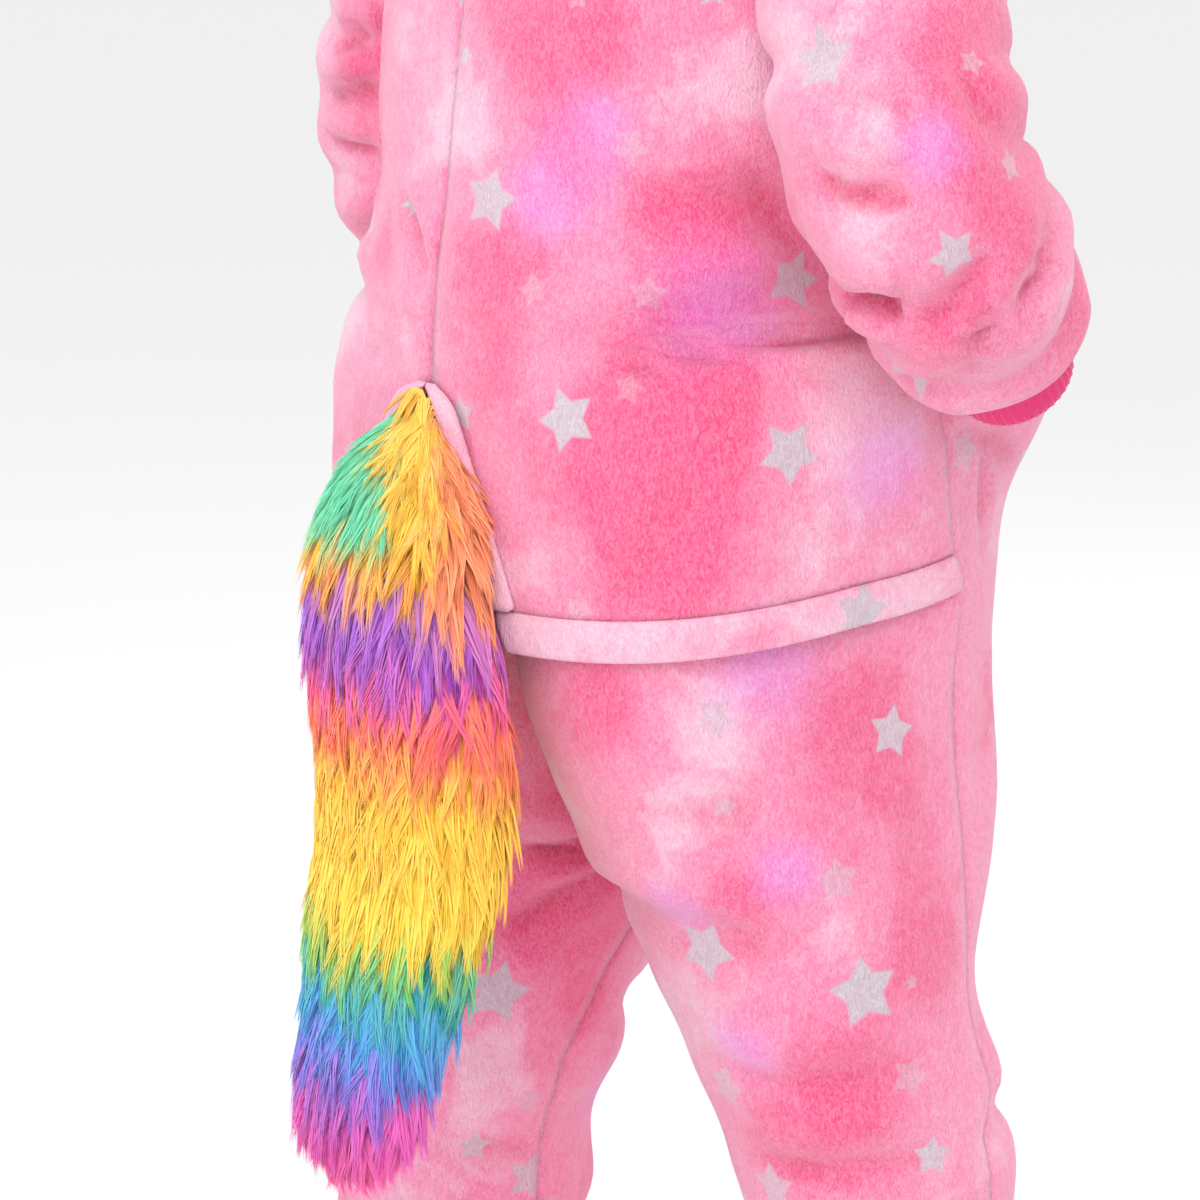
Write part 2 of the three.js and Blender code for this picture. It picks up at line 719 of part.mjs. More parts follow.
function armCurve(side) {
  return new THREE.CatmullRomCurve3(ARM_PATH[side.name].map((p) => new THREE.Vector3(p.x, p.y, p.z)));
}

function ringSpot(curve, along, phi, radius, ahead = 0) {
  const tangent = curve.getTangentAt(along);
  const front = new THREE.Vector3(0, -1, 0);
  front.addScaledVector(tangent, -front.dot(tangent)).normalize();
  const outward = tangent.clone().cross(front);
  const spot = curve.getPointAt(along).addScaledVector(tangent, ahead);
  spot.addScaledVector(outward, radius * Math.cos(phi));
  return spot.addScaledVector(front, radius * Math.sin(phi));
}

function sleeveFold(along, phi) {
  let sum = 0;
  for (const fold of SLEEVE_FOLDS) {
    const turned = Math.cos(phi - radians(fold.facing));
    const line = fold.along + fold.lean * turned;
    sum -= fold.depth * (0.62 + 0.38 * turned) * hump(along - line, fold.width);
    sum += 0.45 * fold.depth * hump(along - line - 2 * fold.width, 1.6 * fold.width);
  }
  return sum * smooth(0.1, 0.2, along) * (1 - smooth(0.84, 0.9, along));
}

function armholeSpot(side, phi, out) {
  const inset = SEAM_GAP - out;
  const z = ARMHOLE.z + (ARMHOLE.rise - inset) * Math.cos(phi);
  const reach = bodicePoint(side, 181, ARMHOLE.z).distanceTo(bodicePoint(side, 179, ARMHOLE.z)) / 2;
  const spread = (ARMHOLE.spread - inset / reach) * Math.sin(phi);
  return bodicePoint(side, 180 + spread, z);
}

// Where the sleeve presses on the bodice, its cloth lies just clear of it

function besideBody(side, spot, out) {
  const row = rowAt(BODICE, "z", spot.z);
  const depth = Math.abs(spot.y - (row.back + row.front) / 2) / ((row.back - row.front) / 2);
  if (depth >= 1) return spot;
  const wall = row.half * (1 - depth ** row.square) ** (1 / row.square);
  const least = wall + ARM_CLEARANCE - out;
  spot.x = -Math.max(-spot.x, least);
  return spot;
}

function sleevePanel(side) {
  const curve = armCurve(side);
  const length = curve.getLength();
  const rows = SLEEVE.length + 1;
  const place = (r, c, out) => {
    const phi = (2 * Math.PI * c) / ARMHOLE.steps;
    if (r === 0) return armholeSpot(side, phi, out);
    const { along, radius } = SLEEVE[r - 1];
    const before = SLEEVE[Math.max(0, r - 2)];
    const after = SLEEVE[Math.min(SLEEVE.length - 1, r)];
    const run = (after.along - before.along) * length;
    const rise = after.radius - before.radius;
    const slant = Math.hypot(run, rise);
    const reach = radius + sleeveFold(along, phi) + (out * run) / slant;
    return besideBody(side, ringSpot(curve, along, phi, reach, (-out * rise) / slant), out);
  };
  const name = `sleeve_${side.name}`;
  return wallMesh(name, side, rows, ARMHOLE.steps, place, FLEECE, fleeceMaterial(), { wraps: true });
}

// Ribbed cuffs: ribs in the outer face over a plain inside

function ribbedTube(name, side, ribs, groove, ringAt, material) {
  const place = (r, c, out) => ringAt(r, (Math.PI * c) / ribs, out < 0 ? out : c % 2 === 0 ? 0 : -groove);
  return wallMesh(name, side, 2, ribs * 2, place, RIB_KNIT, material, { wraps: true });
}

function wristCuff(side) {
  const curve = armCurve(side);
  const { from, to, radius, ribs, groove } = WRIST_CUFF;
  const ringAt = (r, phi, out) => ringSpot(curve, mix(from, to, r), phi, radius + out);
  return ribbedTube(`wrist_cuff_${side.name}`, side, ribs, groove, ringAt, ribMaterial());
}

function ankleCuff(side) {
  const { length, radius, ribs, groove } = ANKLE_CUFF;
  const row = TROUSERS[TROUSERS.length - 1];
  const shift = STANCE[STANCE.length - 1][side.name];
  const middle = (row.back + row.front) / 2 + shift;
  const ringAt = (r, phi, out) => {
    const z = LEG_END_Z - SEAM_GAP - length * r;
    const reach = radius + out;
    return new THREE.Vector3(-row.mid + reach * Math.cos(phi), middle + reach * Math.sin(phi), z);
  };
  return ribbedTube(`ankle_cuff_${side.name}`, side, ribs, groove, ringAt, ribMaterial());
}

// Hood halves, joined from the neck's back over the top to the brow

function hoodPoint(share, rise) {
  const row = rowAt(HOOD, "rise", rise);
  const [x, y] = oval(row, 0, 90 + 180 * Math.min(1, row.edge) * share);
  return new THREE.Vector3(x, y, rise + NECK_LEAN.share * y * (1 - smooth(0, NECK_LEAN.above, rise)));
}

function hoodAt(share, rise, out) {
  const [left, right] = [Math.max(0, share - 0.01), Math.min(1, share + 0.01)];
  const low = Math.max(HOOD[0].rise, rise - 1);
  const high = Math.min(HOOD[HOOD.length - 1].rise, rise + 1);
  const across = hoodPoint(right, rise).sub(hoodPoint(left, rise));
  const along = hoodPoint(share, low).sub(hoodPoint(share, high));
  const normal = along.cross(across).normalize();
  return hoodPoint(share, rise).addScaledVector(normal, out);
}

const HOOD_RISES = [0.3, 15, 36, 68, 108, 150, 190, 222, 246, 263, 275, 284];
const HOOD_COLUMNS = 10;

function hoodHalf(side) {
  const place = (r, c, out) => {
    const share = c / (HOOD_COLUMNS - 1);
    const spot = hoodAt(share, HOOD_RISES[r], out);
    spot.x = Math.min(spot.x, -EDGE);
    return spot;
  };
  const name = `hood_${side.name}`;
  const [rows, columns] = [HOOD_RISES.length, HOOD_COLUMNS];
  return wallMesh(name, side, rows, columns, place, FLEECE, fleeceMaterial(), { flip: true });
}

// Button strip and buttons

function stripSpot(x, z, out) {
  const row = rowAt(BODICE, "z", z);
  const turn = (Math.asin(Math.abs(x / row.half) ** (row.square / 2)) * 180) / Math.PI;
  const point = bodiceAt(SIDES[0], 270 - turn, z, out);
  point.x *= x > 0 ? -1 : 1;
  return point;
}

function placket() {
  const rows = SHOULDER_LEVELS.slice(2).concat(WAIST_LEVELS, HIP_LEVELS);
  const shares = [-1, -0.5, 0, 0.5, 1];
  const place = (r, c, out) => {
    const crown = out < 0 ? 0 : -PLACKET.edgeDrop * shares[c] ** 2;
    return stripSpot(shares[c] * PLACKET.half, rows[r], PLACKET.thick + SEAM_GAP + out + crown);
  };
  const columns = shares.length;
  return wallMesh("button_strip", SIDES[0], rows.length, columns, place, PLACKET.thick, fleeceMaterial());
}

function button(number) {
  const z = BUTTON.firstZ - BUTTON.pitch * number;
  const face = PLACKET.thick + SEAM_GAP;
  const seat = stripSpot(0, z, face);
  const above = stripSpot(0, z + BUTTON.radius, face);
  const below = stripSpot(0, z - BUTTON.radius, face);
  const tilt = Math.atan2(above.y - below.y, above.z - below.z);
  const geometry = new THREE.CylinderGeometry(BUTTON.radius, BUTTON.radius, BUTTON.thick, BUTTON.sides);
  const mesh = new THREE.Mesh(geometry, buttonMaterial());
  mesh.name = `button_${number + 1}`;
  mesh.rotation.x = -tilt;
  mesh.position.set(0, seat.y - BUTTON.thick / 2 - BUTTON.clear, seat.z);
  return mesh;
}

// Tail: one stuffed body whose front is shaped by the seat and flap that it lies on

function tailFaces() {
  const points = [];
  for (const row of TAIL) {
    for (let k = 0; k < TAIL_SIDES; k += 1) {
      const angle = (2 * Math.PI * k) / TAIL_SIDES;
      const [x, y] = [row.wide * Math.cos(angle), row.thick * Math.sin(angle)];
      points.push(new THREE.Vector3(row.x + x, row.y + y, row.z));
    }
  }
  const faces = [];
  for (let r = 0; r < TAIL.length - 1; r += 1) {
    for (let k = 0; k < TAIL_SIDES; k += 1) {
      const next = (k + 1) % TAIL_SIDES;
      const [a, b] = [r * TAIL_SIDES + k, r * TAIL_SIDES + next];
      faces.push([a, b + TAIL_SIDES, b], [a, a + TAIL_SIDES, b + TAIL_SIDES]);
    }
  }
  const end = (TAIL.length - 1) * TAIL_SIDES;
  for (let k = 1; k < TAIL_SIDES - 1; k += 1) faces.push([0, k, k + 1], [end, end + k + 1, end + k]);
  return { points, faces };
}

const wasm = await Module();
wasm.setup();

function solidFrom(points, faces) {
  const vertProperties = new Float32Array(points.flatMap((p) => [p.x, p.y, p.z]));
  const triVerts = new Uint32Array(faces.flat());
  return new wasm.Manifold(new wasm.Mesh({ numProp: 3, vertProperties, triVerts }));
}

// Room that the tail keeps clear of: the trousers' whole body and a thickened flap with its bands

function legRoom(side) {
  const heights = [SEAT_ROWS[0]].concat(evenHeights(SEAT_ROWS[0], TAIL_REST.seatEndZ, 22));
  const columns = 28;
  const points = [];
  for (const z of heights) {
    for (let c = 0; c < columns; c += 1) {
      const spot = trouserAt(side, (360 * (c + 0.5)) / columns, z, TAIL_REST.seatGap);
      points.push(new THREE.Vector3(spot.x * side.mirror, spot.y, spot.z));
    }
  }
  const faces = [];
  for (let r = 0; r < heights.length - 1; r += 1) {
    for (let c = 0; c < columns; c += 1) {
      const next = (c + 1) % columns;
      const [a, b] = [r * columns + c, r * columns + next];
      faces.push([a, b + columns, b], [a, a + columns, b + columns]);
    }
  }
  const end = (heights.length - 1) * columns;
  for (let c = 1; c < columns - 1; c += 1) faces.push([0, c, c + 1], [end, end + c + 1, end + c]);
  const turned = side.mirror > 0 ? faces : faces.map(([a, b, c]) => [a, c, b]);
  return solidFrom(points, turned);
}

function flapRoom(side) {
  const top = TAIL_REST.flapTopZ;
  const heights = [top].concat(evenHeights(top, HEM_Z - 1, 14));
  const columns = 12;
  const points = [];
  for (const out of [TAIL_REST.flapGap, -TAIL_REST.flapUnder]) {
    for (const z of heights) {
      const from = Math.max(89, notchAngle(z, -0.6));
      for (let c = 0; c < columns; c += 1) {
        const spot = bodiceAt(side, mix(from, TAIL_REST.sideAngle, c / (columns - 1)), z, out);
        points.push(new THREE.Vector3(spot.x * side.mirror, spot.y, spot.z));
      }
    }
  }
  const faces = wallFaces(heights.length, columns, false, () => false);
  const turned = side.mirror > 0 ? faces : faces.map(([a, b, c]) => [a, c, b]);
  return solidFrom(points, turned);
}

function tail() {
  const { points, faces } = tailFaces();
  let body = solidFrom(points, faces);
  for (const side of SIDES) {
    body = body.subtract(legRoom(side));
    body = body.subtract(flapRoom(side));
  }
  const pieces = body.decompose().sort((a, b) => b.volume() - a.volume());
  const cut = pieces[0].getMesh();
  const geometry = new THREE.BufferGeometry();
  geometry.setAttribute("position", new THREE.BufferAttribute(new Float32Array(cut.vertProperties), 3));
  geometry.setIndex(new THREE.BufferAttribute(new Uint32Array(cut.triVerts), 1));
  geometry.computeVertexNormals();
  const mesh = new THREE.Mesh(geometry, furMaterial());
  mesh.name = "tail";
  return mesh;
}

// The whole garment

const onesie = new THREE.Group();
const MAKERS = [
  backPanel,
  hemBand,
  notchBand,
  frontPanel,
  pocketBag,
  seatPanel,
  sleevePanel,
  wristCuff,
  ankleCuff,
  hoodHalf,
];
for (const side of SIDES) {
  for (const make of MAKERS) onesie.add(make(side));
}
onesie.add(placket());
for (let number = 0; number < BUTTON.count; number += 1) onesie.add(button(number));
onesie.add(tail());

export default onesie;
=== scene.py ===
"""Looks of a hooded fleece one-piece with a button front, a seat flap and a long rainbow tail.

The cloth is worked out again from the sizes of the solids, in millimetres on the right side, and the
left side is its mirror with its own arm and leg. Every finished mesh is in metres in the row's frame.
"""

import math
import random

import bpy
import numpy as np
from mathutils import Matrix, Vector


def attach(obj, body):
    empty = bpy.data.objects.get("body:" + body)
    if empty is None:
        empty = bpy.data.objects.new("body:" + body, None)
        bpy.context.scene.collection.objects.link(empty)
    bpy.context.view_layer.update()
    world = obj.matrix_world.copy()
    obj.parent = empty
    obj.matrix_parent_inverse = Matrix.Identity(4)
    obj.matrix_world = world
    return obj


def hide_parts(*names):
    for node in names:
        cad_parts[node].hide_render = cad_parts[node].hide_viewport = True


bl_info = {
    "name": "Fleece one-piece",
    "version": (1, 0, 0),
    "blender": (4, 5, 0),
    "location": "3D View > Sidebar > One-piece",
    "description": "Builds a printed fleece one-piece with a fur tail, piece by piece",
    "category": "Object",
}

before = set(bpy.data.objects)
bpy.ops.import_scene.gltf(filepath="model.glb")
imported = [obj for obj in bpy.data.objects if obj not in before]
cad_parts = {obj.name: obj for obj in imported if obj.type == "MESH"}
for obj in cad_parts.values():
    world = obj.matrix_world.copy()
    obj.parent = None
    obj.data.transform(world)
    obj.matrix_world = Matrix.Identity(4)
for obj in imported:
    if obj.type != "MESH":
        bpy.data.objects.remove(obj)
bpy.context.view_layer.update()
MM = 0.001
LOOK = "-look"

# Cloth and seams, in millimetres as all sizes here

FLEECE = 2.4
RIB_KNIT = 1.8
SEAM_GAP = 0.3
SQUARENESS = 2.15

# Body heights

SHOULDER_Z = -48
ARMPIT_Z = -190
HEM_Z = -572
NOTCH_Z = -424
BODICE_END_Z = -645
LEG_END_Z = -1308
NECK_LEAN = {"share": 0.25, "below": 150, "above": 120}
NECK_TUCK = 3.5
HEM_LIFT = {"rise": 26, "from_z": -380, "to_z": -800, "power": 1.6}


def table(names, rows):
    """A table as one array for each named column; the first column is what rows are looked up by."""
    data = np.array(rows, float)
    return {name: data[:, i] for i, name in enumerate(names.split())}


BODICE = table(
    "z half back front square seam",
    [
        (0, 78, 62, -72, 2.1, 0),
        (-12, 108, 78, -84, 2.1, 0),
        (-28, 150, 98, -97, 2.1, 0),
        (-48, 180, 115, -108, 2.15, 0),
        (-80, 191, 130, -122, 2.2, 0),
        (-120, 194, 144, -135, 2.2, 0),
        (-190, 193, 157, -149, 2.15, 0),
        (-255, 190, 166, -154, 2.15, 0),
        (-318, 176, 173, -159, 2.15, 0),
        (-352, 181, 179, -166, 2.2, 2),
        (-400, 206, 183, -173, 2.3, 7),
        (-445, 215, 185, -176, 2.45, 9),
        (-510, 209, 186, -173, 2.6, 13),
        (-572, 208, 187, -166, 2.65, 19),
        (-660, 208, 187, -160, 2.65, 21),
    ],
)
TROUSERS = table(
    "z mid half back front seam",
    [
        (-400, 45, 144, 165, -155, 7),
        (-425, 55, 142, 166, -157, 9),
        (-500, 80, 118, 167, -157, 18),
        (-598, 92, 110, 166, -152, 25),
        (-657, 101, 108, 151, -148, 23),
        (-705, 110, 106, 127, -139, 23),
        (-749, 118, 105, 104, -122, 25),
        (-785, 127, 97, 94, -108, 31),
        (-841, 140, 87, 91, -95, 34),
        (-915, 152, 85, 87, -91, 14),
        (-955, 159, 81, 81, -83, 12),
        (-1011, 165, 83, 84, -86, 9),
        (-1100, 168, 80, 80, -84, 6),
        (-1200, 170, 78, 76, -82, 4),
        (-1268, 170, 81, 78, -84, 2),
        (-1298, 170, 68, 65, -71, 0),
        (-1308, 170, 51, 48, -54, 0),
    ],
)
STANCE = table(
    "z right left",
    [
        (-640, 0, 0), (-785, -3, 6), (-841, -17, 24), (-915, -40, 42), (-1011, -43, 46),
        (-1100, -32, 48), (-1200, -12, 50), (-1308, 0, 50),
    ],
)
STANCE_HOLD = {"across": 90, "from_z": -780, "to_z": -900}
ARM_CLEARANCE = 2
ARMHOLE = {"z": (SHOULDER_Z + ARMPIT_Z) / 2, "rise": (SHOULDER_Z - ARMPIT_Z) / 2, "spread": 31}
ARM_PATH = {
    "right": [
        (-192, 0, -119), (-230, 34, -168), (-258, 54, -222), (-280, 58, -278), (-284, 26, -332),
        (-262, -28, -384), (-254, -48, -403),
    ],
    "left": [
        (-192, 0, -119), (-228, 6, -175), (-246, 4, -235), (-266, -2, -302), (-268, -24, -356),
        (-256, -68, -398), (-250, -88, -412),
    ],
}
SLEEVE = table(
    "along radius",
    [
        (0.07, 74), (0.14, 75), (0.2, 73), (0.26, 71), (0.32, 70), (0.38, 69), (0.5, 68), (0.62, 67),
        (0.68, 66), (0.74, 64), (0.8, 61), (0.86, 57), (0.91, 50), (0.93, 43),
    ],
)
SLEEVE_END = {"along": 0.915, "radius": 38.5}
SLEEVE_FOLDS = [
    {"along": 0.24, "depth": 3, "width": 0.03, "lean": 0.03, "facing": 60},
    {"along": 0.37, "depth": 9, "width": 0.028, "lean": -0.04, "facing": 170},
    {"along": 0.52, "depth": 4, "width": 0.03, "lean": 0.05, "facing": 20},
    {"along": 0.63, "depth": 11, "width": 0.03, "lean": -0.03, "facing": 200},
    {"along": 0.76, "depth": 8, "width": 0.028, "lean": 0.05, "facing": 340},
]
WRIST_CUFF = {"from": 0.9, "to": 0.99, "radius": 37, "ribs": 40, "groove": 0.9, "past": 9, "rows": 14}
ANKLE_CUFF = {"length": 48, "radius": 50.6, "ribs": 44, "groove": 0.8, "rows": 20}
FOLD_SHAPE = {"in": (-0.25, 0.15), "out": (0.7, 1.25), "reach": 0.3, "up": 1.5, "wide": 1.4}
BODY_FOLDS = table(
    "from_angle from_z to_angle to_z depth width ridge",
    [
        (172, -352, 112, -388, 9, 13, 0.8),
        (170, -318, 138, -300, 4, 14, 0.6),
        (196, -345, 250, -372, 7, 15, 0.7),
    ],
)
LEG_FOLDS = table(
    "from_angle from_z to_angle to_z depth width ridge",
    [
        (30, -735, 118, -738, 8, 15, 0.7),
        (200, -886, 300, -872, 7, 16, 0.8),
        (60, -985, 150, -1010, 6, 17, 0.6),
        (10, -1215, 190, -1200, 6, 15, 0.8),
        (150, -1242, 340, -1248, 6, 13, 0.8),
    ],
)
HEM_BAND = {"width": 23, "thick": 6.2}
BAND_TOP_Z = HEM_Z + HEM_BAND["width"]
NOTCH_BAND = {"width": 21, "thick": 9, "rise": 3, "above": 2}
NOTCH = {"half_width": 74, "round": 0.3}
POCKET = {
    "top_z": -318,
    "mouth_z": -436,
    "slit_share": 0.2,
    "slit_half": 0.075,
    "least_gape": 0.06,
    "ease_above": 50,
    "ease_below": 60,
    "bulge": 40,
    "bulge_share": 0.47,
    "bulge_spread": 0.25,
    "bulge_z": -398,
    "bulge_above": 50,
    "bulge_below": 71,
    "bag_top_z": -286,
    "bag_end_z": -549,
    "bag_share": 0.74,
    "bag_depth": 17,
    "wall": 1.6,
}
SLIT_FROM, SLIT_TO = 0.2, 0.3
PLACKET = {"half": 17, "thick": 2.6, "edge_drop": 0.8, "top_z": -22, "stitch_share": 0.78}
BUTTON = {"count": 6, "first_z": -45, "pitch": 94, "radius": 9, "thick": 3.4, "clear": 0.7}
HOOD = table(
    "rise half back front edge",
    [
        (0.3, 78, 62, -72, 1), (22, 81, 70, -78, 0.93), (55, 92, 90, -80, 0.76),
        (100, 104, 112, -72, 0.68), (150, 108, 124, -68, 0.66), (200, 103, 124, -70, 0.69),
        (240, 86, 110, -74, 0.77), (266, 58, 88, -72, 0.88), (279, 28, 66, -62, 0.96),
        (284, 0.1, 50, -52, 1),
    ],
)
TAIL = table(
    "z x y wide thick",
    [
        (-436, 0, 192, 9, 7), (-446, -1, 196, 24, 16), (-468, -4, 202, 44, 30),
        (-500, -8, 210, 64, 42), (-540, -10, 214, 77, 49), (-590, -11, 210, 84, 53),
        (-640, -12, 206, 86, 54), (-690, -12, 208, 84, 53), (-735, -12, 218, 79, 50),
        (-780, -11, 228, 70, 46), (-820, -10, 240, 61, 41), (-856, -10, 248, 54, 36),
        (-882, -9, 252, 39, 27), (-898, -9, 254, 22, 15), (-906, -9, 255, 6, 4),
    ],
)

# The camera stands where the photo was taken from; the photo is a square of this many pixels

CAMERA = {
    "place": (-1969.2, 1594.5, 4.9),
    "target": (27.15, 34.75, -580.0),
    "half_view": 0.1452,
    "photo": 1200,
    "sensor": 36.0,
}

# Lamps and what they are aimed at are in metres: name, place, size and power

LAMPS = [
    ("Key lamp", (-2.4, 2.2, 1.9), 1.6, 44),
    ("Fill lamp", (0.6, 3.2, 0.6), 2.2, 14),
    ("Front lamp", (0.8, -3.0, 1.2), 2.4, 18),
    ("Top lamp", (0.0, 0.3, 2.8), 2.0, 18),
]
LIT_SPOT = (0, 0, -0.55)
WORLD_LIGHT = 0.95
FLOOR = {"reach": 40000, "below": 3}

# How deep and how wide a panel's cloth rolls in at free edges and at seams, and where a seam has its own

FREE_ROLL = (0.6, 4.5)
SEWN_ROLL = (1.0, 6.0)
SEAM_ROLL = {("back", "last"): (0.5, 5), ("leg_back", "last"): (0.6, 5), ("front", "first"): (1.6, 9)}

# Soft waves of the cloth, long ones and short ones: how long and how high, and the seeds of each panel's

CLOTH_WAVES = ((120, 1.5), (46, 0.55))
SLEEVE_WAVES = ((90, 1.6), (38, 0.7))
CLOTH_SEEDS = {
    "back_right": 3,
    "back_left": 5,
    "leg_back_right": 13,
    "leg_back_left": 15,
    "front_right": 23,
    "front_left": 25,
    "sleeve_right": 31,
    "sleeve_left": 35,
    "hood_right": 41,
    "hood_left": 45,
}

# How far from a seam the creases fade

SEAM_CALM = 15

# Mesh steps

CLOTH_STEP = 6.5
WAIST_STEP = 3
ARMHOLE_STEPS = 30

# The two lips of a crease, by its half width and its lips' height: how far off, how wide and how high

LIPS = ((1.9, 1.3, 1), (-2.0, 1.5, 0.6))

# Creases seen in the photo: three pixels, depth, half width and how high the lips stand

PHOTO_CREASES = {
    "back_right": [
        ((590, 376), (735, 349), (905, 322), 8.5, 4.2, 1.0),
        ((620, 352), (690, 322), (800, 300), 3, 16, 0.5),
        ((446, 150), (438, 225), (433, 300), 2.5, 9, 0.4),
        ((905, 560), (893, 500), (872, 430), 3.5, 17, 0.4),
        ((640, 606), (660, 530), (706, 462), 3, 22, 0.4),
        ((530, 590), (526, 520), (500, 452), 2.5, 16, 0.4),
        ((745, 150), (775, 215), (838, 285), 5, 16, 0.4),
        ((520, 30), (560, 120), (575, 230), 2.5, 28, 0.4),
    ],
    "back_left": [
        ((398, 180), (416, 237), (429, 300), 6, 7, 0.6),
        ((352, 330), (385, 352), (420, 345), 4, 9, 0.5),
        ((372, 300), (395, 318), (425, 322), 3, 7, 0.5),
    ],
    "leg_back_right": [
        ((545, 672), (640, 700), (760, 690), 3, 20, 0.4),
        ((596, 790), (680, 812), (790, 792), 4, 18, 0.4),
        ((650, 930), (735, 950), (850, 925), 4, 16, 0.4),
        ((700, 1052), (800, 1082), (930, 1062), 6, 14, 0.5),
        ((745, 1150), (850, 1168), (965, 1135), 6, 12, 0.5),
        ((948, 690), (930, 790), (925, 880), 3, 14, 0.4),
    ],
    "leg_back_left": [
        ((512, 846), (560, 850), (606, 840), 8, 7, 0.5),
        ((634, 858), (565, 896), (492, 946), 7, 10, 0.5),
        ((575, 1040), (530, 1060), (470, 1052), 4, 12, 0.5),
        ((585, 1130), (530, 1150), (450, 1148), 4, 12, 0.5),
    ],
    "sleeve_right": [
        ((800, 160), (850, 192), (935, 196), 9, 12, 0.5),
        ((842, 276), (868, 300), (905, 306), 15, 8, 0.5),
        ((905, 320), (960, 300), (1000, 240), 7, 11, 0.5),
        ((950, 352), (1000, 318), (1036, 262), 10, 8, 0.7),
        ((1000, 345), (1032, 300), (1052, 232), 8, 7, 0.7),
        ((868, 372), (935, 382), (1000, 352), 5, 10, 0.5),
        ((800, 60), (850, 95), (930, 100), 5, 15, 0.4),
        ((955, 40), (985, 110), (1030, 150), 6, 13, 0.4),
    ],
    "sleeve_left": [
        ((316, 88), (345, 96), (378, 88), 7, 8, 0.6),
        ((324, 135), (350, 150), (384, 150), 8, 8, 0.6),
        ((330, 46), (350, 42), (372, 30), 6, 8, 0.6),
        ((350, 235), (370, 225), (388, 200), 5, 9, 0.5),
    ],
    "front_right": [
        ((945, 440), (985, 436), (1030, 470), 5, 9, 0.4),
        ((987, 452), (985, 490), (990, 540), 4, 5, 0.5),
        ((975, 640), (985, 720), (975, 800), 3, 12, 0.4),
        ((980, 1000), (1000, 1070), (1012, 1120), 5, 10, 0.5),
    ],
}

# Like creases where the photo doesn't reach: three places as share across and height

HIDDEN_CREASES = {
    "back_left": [
        ((0.35, -355), (0.65, -335), (0.97, -318), 9, 10, 0.6),
        ((0.5, -540), (0.52, -480), (0.6, -430), 3, 20, 0.4),
        ((0.85, -200), (0.8, -245), (0.72, -290), 5, 15, 0.4),
    ],
    "back_right": [
        ((0.2, -40), (0.5, -62), (0.8, -60), 3, 16, 0.4),
    ],
    "leg_back_left": [
        ((0.45, -760), (0.65, -785), (0.9, -770), 5, 18, 0.4),
        ((0.3, -1020), (0.6, -1040), (0.9, -1015), 6, 15, 0.5),
        ((0.25, -1120), (0.55, -1150), (0.85, -1140), 6, 14, 0.5),
        ((0.1, -1240), (0.5, -1262), (0.9, -1246), 7, 12, 0.6),
    ],
    "leg_back_right": [
        ((0.1, -1230), (0.5, -1256), (0.9, -1240), 8, 12, 0.6),
    ],
    "front_right": [
        ((0.5, -560), (0.75, -590), (0.96, -640), 7, 13, 0.5),
        ((0.45, -640), (0.7, -668), (0.95, -690), 6, 14, 0.5),
        ((0.12, -255), (0.35, -300), (0.62, -352), 5, 18, 0.4),
        ((0.3, -150), (0.28, -215), (0.22, -280), 4, 20, 0.4),
        ((0.55, -470), (0.72, -500), (0.92, -498), 5, 13, 0.4),
        ((0.2, -860), (0.5, -885), (0.85, -868), 6, 15, 0.5),
        ((0.25, -1030), (0.55, -1050), (0.85, -1040), 4, 16, 0.5),
        ((0.1, -1236), (0.5, -1262), (0.9, -1240), 7, 12, 0.6),
    ],
    "front_left": [
        ((0.42, -575), (0.7, -600), (0.96, -655), 7, 13, 0.5),
        ((0.5, -655), (0.7, -690), (0.95, -712), 5, 13, 0.5),
        ((0.1, -240), (0.3, -290), (0.6, -335), 5, 18, 0.4),
        ((0.35, -130), (0.3, -200), (0.26, -262), 4, 19, 0.4),
        ((0.5, -452), (0.7, -486), (0.93, -480), 5, 14, 0.4),
        ((0.15, -845), (0.5, -872), (0.9, -858), 6, 15, 0.5),
        ((0.2, -1008), (0.5, -1036), (0.88, -1020), 5, 15, 0.5),
        ((0.12, -1228), (0.5, -1252), (0.88, -1236), 7, 12, 0.6),
    ],
    "hood_right": [
        ((0.12, 30), (0.3, 62), (0.52, 70), 5, 13, 0.5),
        ((0.2, 95), (0.45, 130), (0.8, 120), 5, 15, 0.5),
        ((0.3, 190), (0.5, 205), (0.85, 230), 4, 15, 0.5),
    ],
    "hood_left": [
        ((0.1, 22), (0.35, 48), (0.6, 64), 5, 12, 0.5),
        ((0.15, 108), (0.4, 138), (0.75, 142), 5, 15, 0.5),
        ((0.35, 176), (0.6, 196), (0.9, 204), 4, 14, 0.5),
    ],
}

# Patches of the dye as the photo shows them: pixel across, pixel down, radius, and from deep (-1) to pale (1)

